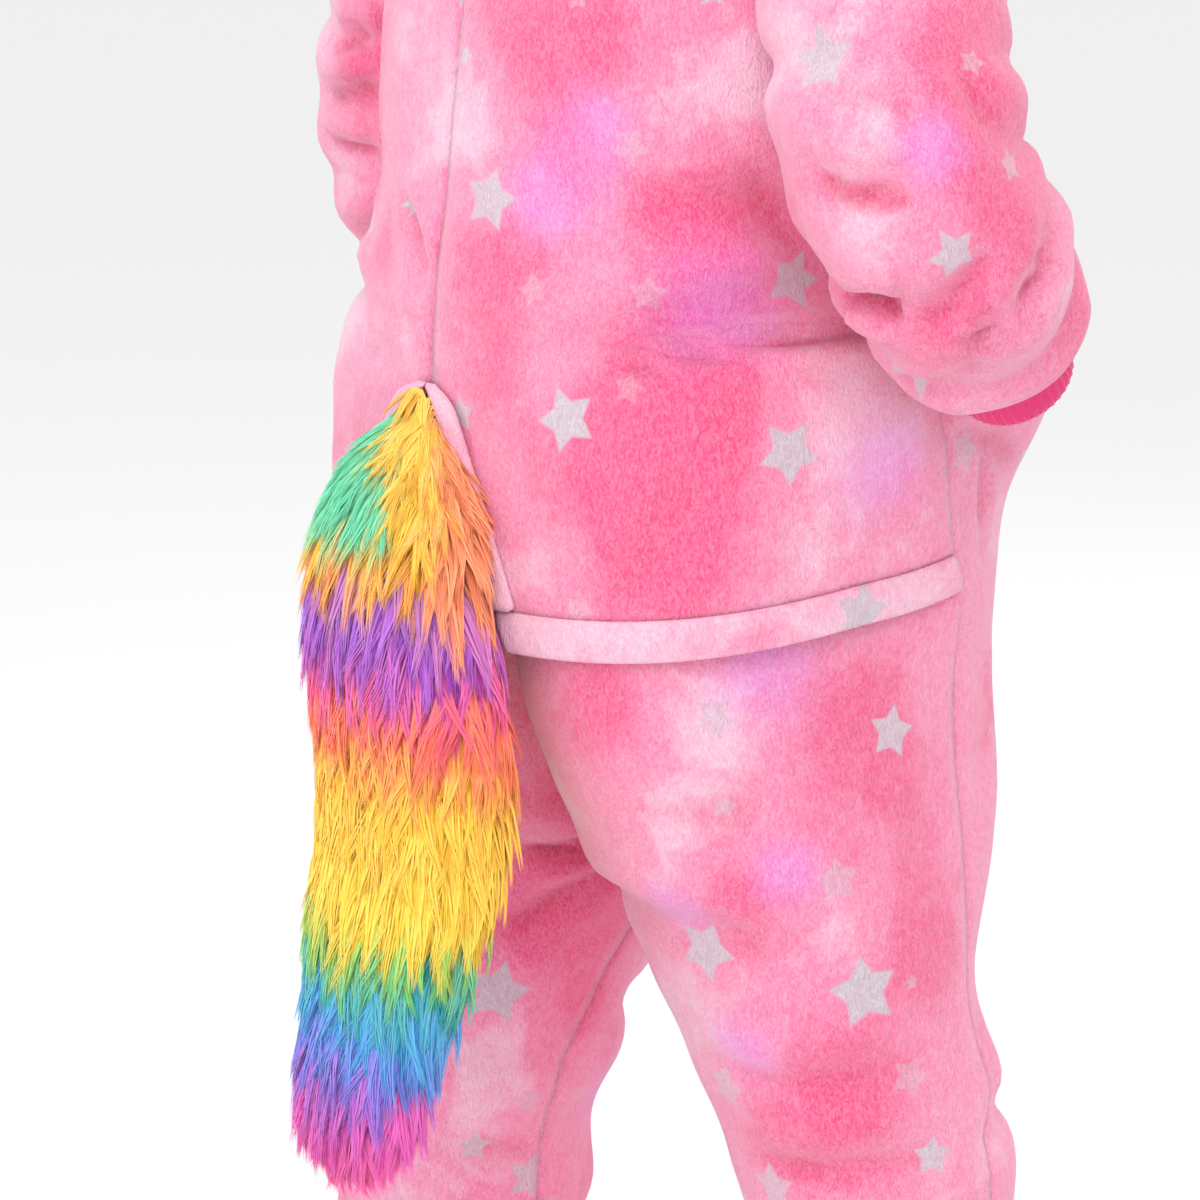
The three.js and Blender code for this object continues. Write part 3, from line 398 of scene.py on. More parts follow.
DYE_PATCHES = [
    (560, 45, 95, -1.0), (470, 120, 70, 0.7), (700, 70, 90, 0.45), (500, 275, 75, -0.85),
    (600, 265, 60, 0.4), (705, 215, 95, -1.0), (790, 205, 50, -0.6), (655, 130, 55, 0.35),
    (680, 385, 95, -1.0), (480, 395, 60, -0.6), (560, 350, 45, 0.4), (650, 480, 100, -1.0),
    (810, 370, 75, 0.7), (860, 430, 70, 0.6), (760, 500, 50, 0.2), (560, 560, 60, 0.4),
    (660, 592, 70, -0.9), (820, 560, 70, 0.4), (640, 650, 50, 0.6), (960, 90, 80, -0.9),
    (880, 130, 60, 0.6), (800, 45, 60, 0.3), (1020, 190, 70, -1.0), (860, 235, 70, 0.5),
    (960, 330, 60, -0.7), (1060, 290, 45, 0.5), (600, 705, 80, -0.9), (740, 700, 80, 0.6),
    (840, 745, 85, -1.0), (560, 800, 50, 0.5), (700, 800, 80, 0.45), (900, 800, 60, -0.4),
    (730, 905, 55, -0.6), (640, 850, 55, 0.1), (930, 960, 65, -0.9), (840, 940, 50, 0.4),
    (700, 1010, 70, 0.5), (850, 1090, 85, -0.9), (930, 1130, 60, 0.2), (775, 1150, 60, -0.5),
    (570, 905, 90, -1.0), (590, 1010, 50, -0.6), (500, 1060, 70, 0.5), (470, 1170, 60, 0.3),
    (350, 310, 55, 0.8), (360, 420, 50, -0.4), (400, 40, 50, 0.4), (345, 70, 45, -0.7),
    (345, 170, 40, 0.2), (385, 240, 35, -0.6), (1000, 520, 60, 0.3),
]
LILAC_PATCHES = [
    (545, 195, 42), (590, 130, 40), (718, 312, 60), (880, 465, 48), (935, 150, 34), (790, 868, 34),
    (680, 910, 34), (742, 1055, 34), (770, 668, 50),
]
LILAC_WIDER = 1.25
HIDDEN_DYE = {"apart": 62, "radius": (38, 60), "lilac_share": 0.14, "seed": 5}

# Printed stars where the photo shows them: pixel across, pixel down, tip to tip, turn and strength

PHOTO_STARS = [
    (467, 55, 22, 10, 0.85), (397, 35, 30, 40, 0.4), (487, 197, 58, 12, 0.95),
    (632, 145, 38, 30, 0.35), (533, 290, 34, 50, 0.35), (648, 295, 36, 5, 0.35),
    (457, 411, 34, -8, 0.9), (562, 417, 60, 46, 1.0), (794, 273, 54, 21, 0.95),
    (793, 453, 60, 35, 1.0), (825, 55, 65, -14, 0.9), (970, 65, 28, 25, 0.45), (957, 254, 50, 38, 0.9),
    (575, 615, 34, 20, 0.35), (716, 718, 40, 33, 0.5), (886, 733, 50, 15, 0.95),
    (842, 875, 45, -5, 0.45), (718, 803, 24, 12, 0.4), (700, 950, 60, 24, 0.95),
    (860, 995, 68, -10, 1.0), (912, 988, 16, 0, 0.5), (727, 1085, 46, 14, 0.6),
    (905, 1080, 40, 28, 0.4), (929, 1156, 38, 5, 0.9), (498, 990, 60, 16, 0.95),
    (533, 1100, 30, -12, 0.4), (475, 1147, 32, 8, 0.8), (533, 1180, 45, 20, 0.85),
    (768, 1190, 50, -6, 0.7), (969, 446, 44, 20, 0.5), (1008, 163, 34, 0, 0.55),
    (630, 385, 30, 12, 0.3),
]
HIDDEN_STARS = {"apart": 74, "sizes": (18, 42), "seed": 11}
BAND_TONE = 0.45
BAND_STAR = (862, 612, 60, 12, 1.0)
STAR_REACH = 1.45
STAR_TIP = 0.6
NO_STAR = 9.0
UPRIGHT = np.array([0, 0, 1.0])
LEVEL = 0.9


# Small sums


def mix(a, b, share):
    return a + (b - a) * share


def mirror(side):
    """What places on the right are multiplied by to lie on that side."""
    return np.array([-1 if side == "left" else 1, 1, 1])


def smooth(low, high, value):
    share = np.clip((np.asarray(value, float) - low) / (high - low), 0, 1)
    return share * share * (3 - 2 * share)


def hump(distance, width):
    return np.exp(-((distance / width) ** 2))


def unit(vectors):
    return vectors / np.maximum(np.linalg.norm(vectors, axis=-1, keepdims=True), 1e-9)


def row_at(rows, value):
    """The columns of a table between its rows, on smooth curves."""
    names = list(rows)
    key = rows[names[0]]
    value = np.asarray(value, float)
    sign = 1 if key[-1] > key[0] else -1
    last = np.clip(np.searchsorted(sign * key, sign * value, side="left"), 1, len(key) - 1)
    a, b = last - 1, last
    before, after = np.maximum(0, last - 2), np.minimum(len(key) - 1, last + 1)
    step = key[b] - key[a]
    s = np.clip((value - key[a]) / step, 0, 1)
    out = {}
    for name in names:
        column = rows[name]
        slope_a = (column[b] - column[before]) / (key[b] - key[before]) * step
        slope_b = (column[after] - column[a]) / (key[after] - key[a]) * step
        out[name] = (
            (2 * s**3 - 3 * s**2 + 1) * column[a]
            + (s**3 - 2 * s**2 + s) * slope_a
            + (3 * s**2 - 2 * s**3) * column[b]
            + (s**3 - s**2) * slope_b
        )
    return out


def oval(row, middle, angle):
    """A place on a squared oval, at an angle in degrees: 90 is the back, 180 the right side."""
    power = 2 / row.get("square", SQUARENESS)
    c, s = np.cos(np.radians(angle)), np.sin(np.radians(angle))
    centre, depth = (row["back"] + row["front"]) / 2, (row["back"] - row["front"]) / 2
    x = -middle + row["half"] * np.sign(c) * np.abs(c) ** power
    y = centre + depth * np.sign(s) * np.abs(s) ** power
    return x, y


def stack(x, y, z):
    return np.stack(np.broadcast_arrays(x, y, z), axis=-1).astype(float)


def fold_relief(folds, angle, z):
    total = np.zeros(np.broadcast(angle, z).shape)
    for i in range(len(folds["depth"])):
        fold = {name: column[i] for name, column in folds.items()}
        share = (angle - fold["from_angle"]) / (fold["to_angle"] - fold["from_angle"])
        held = np.clip(share, -FOLD_SHAPE["reach"], 1 + FOLD_SHAPE["reach"])
        fade = smooth(*FOLD_SHAPE["in"], share) * (1 - smooth(*FOLD_SHAPE["out"], share))
        off = z - mix(fold["from_z"], fold["to_z"], held)
        ridge = hump(off - FOLD_SHAPE["up"] * fold["width"], FOLD_SHAPE["wide"] * fold["width"])
        total += fade * fold["depth"] * (fold["ridge"] * ridge - hump(off, fold["width"]))
    return total


# The front's side edge is sewn in under the back's

SIDE_TUCK = {"degrees": 1.2, "deep": 1.8, "share": 0.03}


# Body surfaces, at an angle (90 back, 180 side, 270 front) and a height on the right side


def bodice_point(side, angle, z):
    x, y = oval(row_at(BODICE, z), 0, angle)
    return stack(x, y, z + NECK_LEAN["share"] * y * smooth(-NECK_LEAN["below"], 0, z))


def crotch_angle(row):
    reach = np.clip(row["mid"] / row["half"], 0, 1)
    return np.degrees(np.arccos(reach ** (SQUARENESS / 2)))


def trouser_point(side, angle, z):
    row = row_at(TROUSERS, z)
    x, y = oval(row, row["mid"], angle)
    shift = row_at(STANCE, np.minimum(z, STANCE["z"][0]))[side]
    free = smooth(STANCE_HOLD["to_z"], STANCE_HOLD["from_z"], z)
    held = np.maximum(smooth(0, STANCE_HOLD["across"], -x), 1 - free)
    return stack(x, y + shift * held, z)


def placed(surface, side, angle, z, out):
    """A place that far outside a body surface."""
    turn = 0.6
    across = surface(side, angle + turn, z) - surface(side, angle - turn, z)
    along = surface(side, angle, z - 1) - surface(side, angle, z + 1)
    return surface(side, angle, z) + unit(np.cross(along, across)) * np.asarray(out)[..., None]


def bodice_at(side, angle, z, out):
    return placed(bodice_point, side, angle, z, out + fold_relief(BODY_FOLDS, angle, z))


def trouser_at(side, angle, z, out):
    return placed(trouser_point, side, angle, z, out + fold_relief(LEG_FOLDS, angle, z))


def lifted_level(level, share):
    near = smooth(HEM_LIFT["from_z"], HEM_Z, level) * (1 - smooth(HEM_Z, HEM_LIFT["to_z"], level))
    return level + HEM_LIFT["rise"] * near * share ** HEM_LIFT["power"]


def armhole_spread(z):
    height = np.clip((z - ARMHOLE["z"]) / ARMHOLE["rise"], -1, 1)
    return ARMHOLE["spread"] * np.sqrt(1 - height * height)


def pocket_bulge(share, z):
    across = hump(share - POCKET["bulge_share"], POCKET["bulge_spread"])
    drop = np.where(z > POCKET["bulge_z"], POCKET["bulge_above"], POCKET["bulge_below"])
    return POCKET["bulge"] * across * (1 - smooth(0.75, 1, share)) * hump(z - POCKET["bulge_z"], drop)


def front_at(side, share, level, out):
    """The front panel, from the side seam (share 0) to the middle front or inner leg (share 1)."""
    z = lifted_level(level, 1 - share)
    lift = out + pocket_bulge(share, z)
    blend = smooth(BODICE_END_Z, HEM_Z, level)[..., None]
    tuck = SIDE_TUCK["degrees"] * (1 - smooth(ARMPIT_Z - 45, ARMPIT_Z - 20, z))
    lift = lift - SIDE_TUCK["deep"] * np.clip(1 - share / SIDE_TUCK["share"], 0, 1)
    first = 180 + row_at(BODICE, z)["seam"] + armhole_spread(z) - tuck
    upper = bodice_at(side, mix(first, 270, share), z, lift)
    row = row_at(TROUSERS, z)
    first = 180 + row["seam"] - tuck
    lower = trouser_at(side, mix(first, 360 - crotch_angle(row), share), z, lift)
    return blend * upper + (1 - blend) * lower


def notch_angle(z, widen):
    share = np.clip((NOTCH_Z - z) / (NOTCH_Z - HEM_Z), 0, 1)
    width = NOTCH["half_width"] * mix(share, np.sqrt(share), NOTCH["round"]) + widen
    row = row_at(BODICE, z)
    sine = np.minimum(1, np.maximum(0, width) / row["half"]) ** (row["square"] / 2)
    return 90 + np.degrees(np.arcsin(sine)) + np.minimum(0, width)


def back_at(side, share, level, out):
    """The back panel, from the middle back or notch (share 0) to the side seam (share 1)."""
    z = lifted_level(level, share)
    last = 180 + row_at(BODICE, z)["seam"] - armhole_spread(z)
    return bodice_at(side, mix(notch_angle(z, 0), last, share), z, out)


def under_flap(level):
    """How far the seat's side edge lies under the flap's face."""
    return 6 * smooth(HEM_Z - 4, HEM_Z + 12, level)


def seat_at(side, share, level, out):
    """The seat and leg back, from the inner leg (share 0) to the side seam (share 1)."""
    z = lifted_level(level, share)
    row = row_at(TROUSERS, z)
    plain = trouser_at(side, mix(crotch_angle(row), 180 + row["seam"], share), z, out)
    beside = bodice_at(side, 180 + row_at(BODICE, z)["seam"] - 30 * (1 - share), z, out - under_flap(level))
    pull = (smooth(0.55, 1, share) * smooth(BODICE_END_Z, HEM_Z, level))[..., None]
    return mix(plain, beside, pull)


# Sleeves


def arm_curve(side):
    """Places and directions along the sleeve's centre line, at equal steps of its length."""
    points = np.array(ARM_PATH[side], float)
    ends = [2 * points[0] - points[1]], [2 * points[-1] - points[-2]]
    all_points = np.concatenate([ends[0], points, ends[1]])
    spots = []
    for i in range(len(points) - 1):
        p0, p1, p2, p3 = all_points[i : i + 4]
        d0, d1, d2 = (math.sqrt(np.linalg.norm(q - p)) for p, q in ((p0, p1), (p1, p2), (p2, p3)))
        t1 = ((p1 - p0) / d0 - (p2 - p0) / (d0 + d1) + (p2 - p1) / d1) * d1
        t2 = ((p2 - p1) / d1 - (p3 - p1) / (d1 + d2) + (p3 - p2) / d2) * d1
        t = np.linspace(0, 1, 60, endpoint=i == len(points) - 2)[:, None]
        spots.append(p1 + t1 * t + (3 * (p2 - p1) - 2 * t1 - t2) * t**2 + (2 * (p1 - p2) + t1 + t2) * t**3)
    spots = np.concatenate(spots)
    run = np.concatenate([[0], np.cumsum(np.linalg.norm(np.diff(spots, axis=0), axis=1))])
    even = np.linspace(0, run[-1], 400)
    line = np.stack([np.interp(even, run, spots[:, k]) for k in range(3)], axis=1)
    return {"line": line, "turn": unit(np.gradient(line, axis=0)), "length": run[-1]}


def on_curve(curve, along):
    """The place and direction at shares of the line's length."""
    at = np.linspace(0, 1, len(curve["line"]))
    spot = np.stack([np.interp(along, at, curve["line"][:, k]) for k in range(3)], axis=-1)
    turn = np.stack([np.interp(along, at, curve["turn"][:, k]) for k in range(3)], axis=-1)
    return spot, unit(turn)


def ring_spot(curve, along, phi, radius, ahead):
    spot, tangent = on_curve(curve, along)
    front = np.broadcast_to([0.0, -1.0, 0.0], tangent.shape)
    front = unit(front - tangent * np.sum(front * tangent, axis=-1, keepdims=True))
    outward = np.cross(tangent, front)
    reach = np.asarray(radius)[..., None]
    ring = outward * np.cos(phi)[..., None] + front * np.sin(phi)[..., None]
    return spot + tangent * np.asarray(ahead)[..., None] + ring * reach


def sleeve_fold(along, phi):
    total = np.zeros(np.broadcast(along, phi).shape)
    for fold in SLEEVE_FOLDS:
        turned = np.cos(phi - math.radians(fold["facing"]))
        line = fold["along"] + fold["lean"] * turned
        total -= fold["depth"] * (0.62 + 0.38 * turned) * hump(along - line, fold["width"])
        ridge = hump(along - line - 2 * fold["width"], 1.6 * fold["width"])
        total += 0.45 * fold["depth"] * ridge
    return total * smooth(0.1, 0.2, along) * (1 - smooth(0.84, 0.9, along))


def armhole_spot(side, phi, out):
    inset = SEAM_GAP - out
    z = ARMHOLE["z"] + (ARMHOLE["rise"] - inset) * np.cos(phi)
    span = bodice_point(side, 181, ARMHOLE["z"]) - bodice_point(side, 179, ARMHOLE["z"])
    reach = np.linalg.norm(span) / 2
    return bodice_point(side, 180 + (ARMHOLE["spread"] - inset / reach) * np.sin(phi), z)


def beside_body(spots, out):
    """Where the sleeve presses on the bodice, its cloth lies just clear of it."""
    row = row_at(BODICE, spots[..., 2])
    centre, half_depth = (row["back"] + row["front"]) / 2, (row["back"] - row["front"]) / 2
    depth = np.abs(spots[..., 1] - centre) / half_depth
    inside = np.maximum(0, 1 - depth ** row["square"])
    wall = row["half"] * inside ** (1 / row["square"]) + ARM_CLEARANCE - out
    spots = spots.copy()
    spots[..., 0] = np.where(depth < 1, -np.maximum(-spots[..., 0], wall), spots[..., 0])
    return spots


def sleeve_grid(side, columns, out):
    """Rings of the sleeve from the armhole to the edge that turns back over the cuff."""
    curve = arm_curve(side)
    count = round(curve["length"] * 0.86 / (CLOTH_STEP - 1.2))
    along = np.linspace(SLEEVE["along"][0], SLEEVE["along"][-1], count)
    radius = row_at(SLEEVE, along)["radius"]
    slope = np.gradient(radius, along * curve["length"])
    phi = 2 * np.pi * np.arange(columns)[None, :] / columns
    reach = radius[:, None] + sleeve_fold(along[:, None], phi)
    slant = np.hypot(1, slope)[:, None]
    steps = np.broadcast_to(along[:, None], reach.shape)
    ahead = -out * slope[:, None] / slant
    rings = ring_spot(curve, steps, np.broadcast_to(phi, reach.shape), reach + out / slant, ahead)
    rings = beside_body(rings, out)
    top = armhole_spot(side, phi[0], out)
    gap = []
    for share in (0.25, 0.5, 0.75):
        lead = rings[0] - rings[2]
        gap.append(mix(top, rings[0], share) + lead * share * (1 - share) * 0.35)
    end_along = np.full(columns, SLEEVE_END["along"])
    end_reach = np.full(columns, SLEEVE_END["radius"] - 0.25 * out)
    end = ring_spot(curve, end_along, phi[0], end_reach, np.full(columns, out * 0.6))
    return np.concatenate([top[None], np.array(gap), rings, end[None]])


# Grids of cloth


def even(start, end, step=CLOTH_STEP):
    count = max(1, round(abs(end - start) / step))
    return list(np.linspace(start, end, count + 1)[1:])


def shoulder_levels():
    turns = np.pi * np.arange(1, ARMHOLE_STEPS + 1) / ARMHOLE_STEPS
    return [0] + even(0, SHOULDER_Z) + list(ARMHOLE["z"] + ARMHOLE["rise"] * np.cos(turns))


def flap_levels():
    waist = even(ARMPIT_Z, POCKET["top_z"], WAIST_STEP) + even(POCKET["top_z"], POCKET["mouth_z"])
    return np.array(shoulder_levels() + waist + even(POCKET["mouth_z"], BAND_TOP_Z))


def leg_levels():
    return even(BAND_TOP_Z, -1282) + even(-1282, LEG_END_Z, 3.5)


def front_levels():
    return np.concatenate([flap_levels(), leg_levels()])


def seat_levels():
    top = POCKET["mouth_z"] + (POCKET["top_z"] - POCKET["mouth_z"]) / 5
    rows = [top] + even(top, POCKET["mouth_z"]) + even(POCKET["mouth_z"], BAND_TOP_Z)
    return np.array(rows + leg_levels())


def slit_shares(shares, z):
    """Shares across the front panel, spread apart on both sides of the pocket slit."""
    below = smooth(POCKET["mouth_z"] - POCKET["ease_below"], POCKET["mouth_z"], z)
    lift = below * (1 - smooth(POCKET["top_z"], POCKET["top_z"] + POCKET["ease_above"], z))
    middle, length = (POCKET["mouth_z"] + POCKET["top_z"]) / 2, (POCKET["top_z"] - POCKET["mouth_z"]) / 2
    gape = np.sqrt(np.maximum(0, 1 - ((z - middle) / length) ** 2))
    half = POCKET["slit_half"] * np.maximum(POCKET["least_gape"], gape)
    rows = []
    for i in range(len(z)):
        ends = POCKET["slit_share"] - half[i], POCKET["slit_share"] + half[i]
        spread = np.interp(shares, [0, 0.1, SLIT_FROM, SLIT_TO, 0.45, 1], [0, 0.1, ends[0], ends[1], 0.45, 1])
        rows.append(mix(shares, spread, lift[i]))
    return np.array(rows)


def grid_normals(points, wraps=False):
    """Outward normals of a grid of rows down the cloth and columns across it."""
    if wraps:
        wide = np.concatenate([points[:, -1:], points, points[:, :1]], axis=1)
        across = (wide[:, 2:] - wide[:, :-2]) / 2
    else:
        across = np.gradient(points, axis=1)
    return unit(np.cross(np.gradient(points, axis=0), across))


def cloth_runs(points):
    """Distances along the rows and down the columns of a grid, and each row's and column's whole length."""
    across = np.linalg.norm(np.diff(points, axis=1), axis=2)
    down = np.linalg.norm(np.diff(points, axis=0), axis=2)
    u = np.concatenate([np.zeros((len(points), 1)), np.cumsum(across, axis=1)], axis=1)
    v = np.concatenate([np.zeros((1, points.shape[1])), np.cumsum(down, axis=0)])
    return u, v, u[:, -1:], v[-1:]


def swells(points, seed, waves):
    """Soft uneven waves over the cloth, of each listed length and height."""
    return sum(swell(points, seed + i, *wave) for i, wave in enumerate(waves))


def swell(points, seed, wavelength, size):
    draw = random.Random(seed)
    total = np.zeros(points.shape[:-1])
    for _ in range(7):
        way = np.array([draw.gauss(0, 1), draw.gauss(0, 1), draw.gauss(0, 0.8)])
        way *= 2 * math.pi / (wavelength * draw.uniform(0.75, 1.5)) / np.linalg.norm(way)
        total += np.sin(points @ way + draw.uniform(0, 2 * math.pi))
    return total * size / 2.6


def bow(first, middle, last, steps=13):
    """Places on a curve through three places."""
    t = np.linspace(0, 1, steps)[:, None]
    first, middle, last = (np.array(spot, float) for spot in (first, middle, last))
    return (1 - t) ** 2 * first + 2 * t * (1 - t) * (2 * middle - (first + last) / 2) + t**2 * last


def seen_from_camera(points, normals):
    """Whether each point's right side is turned to the camera."""
    return np.sum(unit(np.array(CAMERA["place"]) - points) * normals, axis=-1) > 0.1


class Seen:
    """Points with the pixels at which the camera sees them."""

    def __init__(self, points, normals):
        self.x, self.y, self.depth = photo_spot(points)
        self.hidden = np.where(seen_from_camera(points, normals), 0, 1e4)

    def nearest(self, across, down, more=0):
        return int(np.argmin(np.hypot(self.x - across, self.y - down) + self.hidden + more))


def photo_line(points, normals, spots):
    """A line of pixels laid on the panel's places that the camera sees."""
    flat = points.reshape(-1, 3)
    seen = Seen(flat, normals.reshape(-1, 3))
    line = np.array([flat[seen.nearest(a, b)] for a, b in bow(*spots)])
    for _ in range(4):
        line[1:-1] = (line[:-2] + 2 * line[1:-1] + line[2:]) / 4
    return line


def share_line(points, levels, shares, spots):
    line = []
    for share, level in bow(*spots):
        r, c = int(np.argmin(np.abs(levels - level))), int(np.argmin(np.abs(shares - share)))
        line.append(points[r, c])
    line = np.array(line)
    line[1:-1] = (line[:-2] + 2 * line[1:-1] + line[2:]) / 4
    return line


def crease_relief(points, normals, line, depth, width, lips):
    """A trough with soft lips along a line, fading at its ends, deeper and wider towards the last one."""
    best = np.full(points.shape[:-1], 1e9)
    signed, share = np.zeros(best.shape), np.zeros(best.shape)
    pieces = len(line) - 1
    for i in range(pieces):
        d = line[i + 1] - line[i]
        if d @ d < 1e-6:
            continue
        off = points - line[i]
        s = np.clip(off @ d / (d @ d), 0, 1)
        rest = off - s[..., None] * d
        away = np.linalg.norm(rest, axis=-1)
        near = away < best
        best = np.where(near, away, best)
        sign = np.sign(np.sum(np.cross(d, rest) * normals, axis=-1))
        signed = np.where(near, sign * away, signed)
        share = np.where(near, (i + s) / pieces, share)
    fade = smooth(-0.02, 0.3, share) * (1 - smooth(0.8, 1.02, share))
    wide = width * (0.75 + 0.5 * share)
    lip = sum(lips * high * hump(signed - off * wide, reach * wide) for off, reach, high in LIPS)
    return depth * fade * (lip - hump(signed, wide))


def all_creases(name, side, points, normals, levels=None, shares=None):
    """The relief of a panel's creases; the tables of the left side hold its true, unmirrored places."""
    true, turned = points * mirror(side), normals * mirror(side)
    total = np.zeros(points.shape[:-1])
    for *spots, depth, width, lips in PHOTO_CREASES.get(name, []):
        line = photo_line(true, turned, spots)
        total += crease_relief(true, turned, line, depth, width, lips)
    for *spots, depth, width, lips in HIDDEN_CREASES.get(name, []):
        line = share_line(true, levels, shares, spots)
        total += crease_relief(true, turned, line, depth, width, lips)
    return total


def seam_relief(distance, depth, width):
    return -depth * np.clip(1 - distance / width, 0, 1) ** 2


def pucker(along, distance, seed, size=0.7, reach=13):
    """Small uneven puckers beside a line of sewing."""
    draw = random.Random(seed)
    total = np.zeros(along.shape)
    for wave in (9, 14, 23, 37):
        total += np.sin(along * 2 * math.pi / (wave * draw.uniform(0.85, 1.2)) + draw.uniform(0, 6))
    return size * total / 2 * np.exp(-distance / reach) * smooth(0, 3, distance)


# Meshes


def to_mesh(name, points, faces, smooth_faces=True):
    mesh = bpy.data.meshes.new(name)
    mesh.from_pydata([], [], [])
    points = np.asarray(points, float)
    mesh.vertices.add(len(points))
    mesh.vertices.foreach_set("co", (points * MM).astype(np.float32).ravel())
    sizes = np.array([len(f) for f in faces], np.int32)
    mesh.loops.add(int(sizes.sum()))
    mesh.loops.foreach_set("vertex_index", np.concatenate([np.asarray(f, np.int32) for f in faces]))
    mesh.polygons.add(len(faces))
    mesh.polygons.foreach_set("loop_start", np.concatenate([[0], np.cumsum(sizes)[:-1]]).astype(np.int32))
    mesh.update(calc_edges=True)
    mesh.polygons.foreach_set("use_smooth", np.full(len(faces), smooth_faces))
    mesh.validate()
    mesh.update()
    return mesh


def to_object(name, mesh, material):
    piece = bpy.data.objects.new(name + LOOK, mesh)
    bpy.context.scene.collection.objects.link(piece)
    if material is not None:
        mesh.materials.append(material)
    return piece


def shell_faces(rows, columns, wraps, flip, open_cells):
    """Faces of a wall over a grid: its face, its inside and a rim along every free edge."""
    inner = rows * columns
    last = columns if wraps else columns - 1
    closed = np.ones((rows - 1, last), bool)
    if open_cells is not None:
        closed &= ~open_cells
    r, c = np.nonzero(closed)
    after = (c + 1) % columns
    a, b, d, e = r * columns + c, r * columns + after, (r + 1) * columns + c, (r + 1) * columns + after
    faces = [np.stack([a, d, e, b], 1), np.stack([a, b, e, d], 1) + inner]
    padded = np.pad(closed, 1)
    if wraps:
        padded[1:-1, 0], padded[1:-1, -1] = closed[:, -1], closed[:, 0]
    for dr, dc, p, q in ((-1, 0, a, b), (1, 0, e, d), (0, -1, d, a), (0, 1, b, e)):
        free = ~padded[r + 1 + dr, c + 1 + dc]
        faces.append(np.stack([p, q, q + inner, p + inner], 1)[free])
    faces = np.concatenate(faces)
    return (faces[:, ::-1] if flip else faces), len(r)


def photo_spot(points):
    """Pixels of the photo at which points in the row's frame are seen, and how far off they are."""
    place, target = np.array(CAMERA["place"]), np.array(CAMERA["target"])
    ahead = unit(target - place)
    right = unit(np.cross(ahead, [0, 0, 1]))
    up = np.cross(right, ahead)
    seen = points - place
    depth = seen @ ahead
    scale = CAMERA["photo"] / 2 / CAMERA["half_view"]
    half = CAMERA["photo"] / 2
    return half + seen @ right / depth * scale, half - seen @ up / depth * scale, depth


class Panel:
    """A cut piece of cloth on a grid, with what its print needs."""

    def __init__(self, name, side, outer, wraps=False, flip=False, wall=FLEECE, open_cells=None, relief=None):
        self.name, self.side, self.wraps, self.flip = name, side, wraps, flip
        turn = -1 if flip else 1
        self.relief = np.zeros(outer.shape[:2]) if relief is None else relief
        face = outer + grid_normals(outer, wraps) * turn * self.relief[..., None]
        turned = grid_normals(face, wraps) * turn
        inside = face - turned * wall
        scale = mirror(side)
        self.face, self.inside, self.normals = face * scale, inside * scale, turned * scale
        self.open_cells = open_cells

    def build(self, material, stars, dye=None):
        rows, columns = self.face.shape[:2]
        turn = self.flip != (self.side == "left")
        faces, outside = shell_faces(rows, columns, self.wraps, turn, self.open_cells)
        points = np.concatenate([self.face.reshape(-1, 3), self.inside.reshape(-1, 3)])
        mesh = to_mesh(self.name, points, faces)
        # The relief is kept on the mesh; the fleece paints shade of a deeper pink into its troughs
        relief = np.concatenate([self.relief.ravel(), self.relief.ravel()])
        layer = mesh.attributes.new("relief", "FLOAT", "POINT")
        layer.data.foreach_set("value", relief.astype(np.float32))
        for label, patches in zip(("dye", "lilac"), dye or ((), ())):
            layer = mesh.attributes.new(label, "FLOAT", "POINT")
            layer.data.foreach_set("value", dye_at(points, patches).astype(np.float32))
        print_stars(mesh, points, faces, outside, stars)
        return to_object(self.name, mesh, material)

    def flat_size(self):
        """The cut's greatest width and length and its area, in metres."""
        _, _, width, length = cloth_runs(self.face)
        across = np.linalg.norm(self.face[:-1, 1:] - self.face[:-1, :-1], axis=2)
        down = np.linalg.norm(self.face[1:, :-1] - self.face[:-1, :-1], axis=2)
        area = float((across * down).sum())
        if self.wraps:
            width = width + np.linalg.norm(self.face[:, 0] - self.face[:, -1], axis=1)[:, None]
            area *= self.face.shape[1] / (self.face.shape[1] - 1)
        wide, long = float(width.max()), float(length.max())
        return (wide * MM, long * MM), min(area, wide * long) * MM * MM


# Stars


def print_stars(mesh, points, quads, outside, stars):
    """Every face near a star gets its place on that star, measured from its middle to a tip."""
    local = np.full((len(mesh.loops), 2), NO_STAR)
    tone = np.zeros(len(mesh.polygons))
    if stars:
        centres = points[quads[:outside]].mean(axis=1)
        middle = np.array([s["middle"] for s in stars])
        radius = np.array([s["radius"] for s in stars])
        away = np.linalg.norm(centres[:, None] - middle[None], axis=2) / radius[None]
        best = away.argmin(axis=1)
        for k, star in enumerate(stars):
            near = np.nonzero((best == k) & (away[:, k] < STAR_REACH))[0]
            offset = (points[quads[near]] - star["middle"]) / star["radius"]
            corners = near[:, None] * 4 + np.arange(4)
            local[corners, 0] = offset @ star["across"]
            local[corners, 1] = offset @ star["up"]
            tone[near] = star["strength"]
    layer = mesh.uv_layers.new(name="star")
    layer.data.foreach_set("uv", local.reshape(-1).astype(np.float32))
    tones = mesh.attributes.new("tone", "FLOAT", "FACE")
    tones.data.foreach_set("value", tone.astype(np.float32))


def print_band(piece, listed):
    """The star that the photo shows across a band."""
    across, down, size, turn, strength = listed
    mesh = piece.data
    points = np.array([v.co for v in mesh.vertices]) / MM
    normals = np.array([v.normal for v in mesh.vertices])
    quads = np.array([tuple(face.vertices) for face in mesh.polygons if len(face.vertices) == 4])
    seen = Seen(points, normals)
    pick = seen.nearest(across, down)
    radius = size * STAR_TIP * pixel_size(seen.depth[pick])
    star = star_frame(points[pick], normals[pick], UPRIGHT, turn, radius, strength)
    print_stars(mesh, points, quads, len(quads), [star])


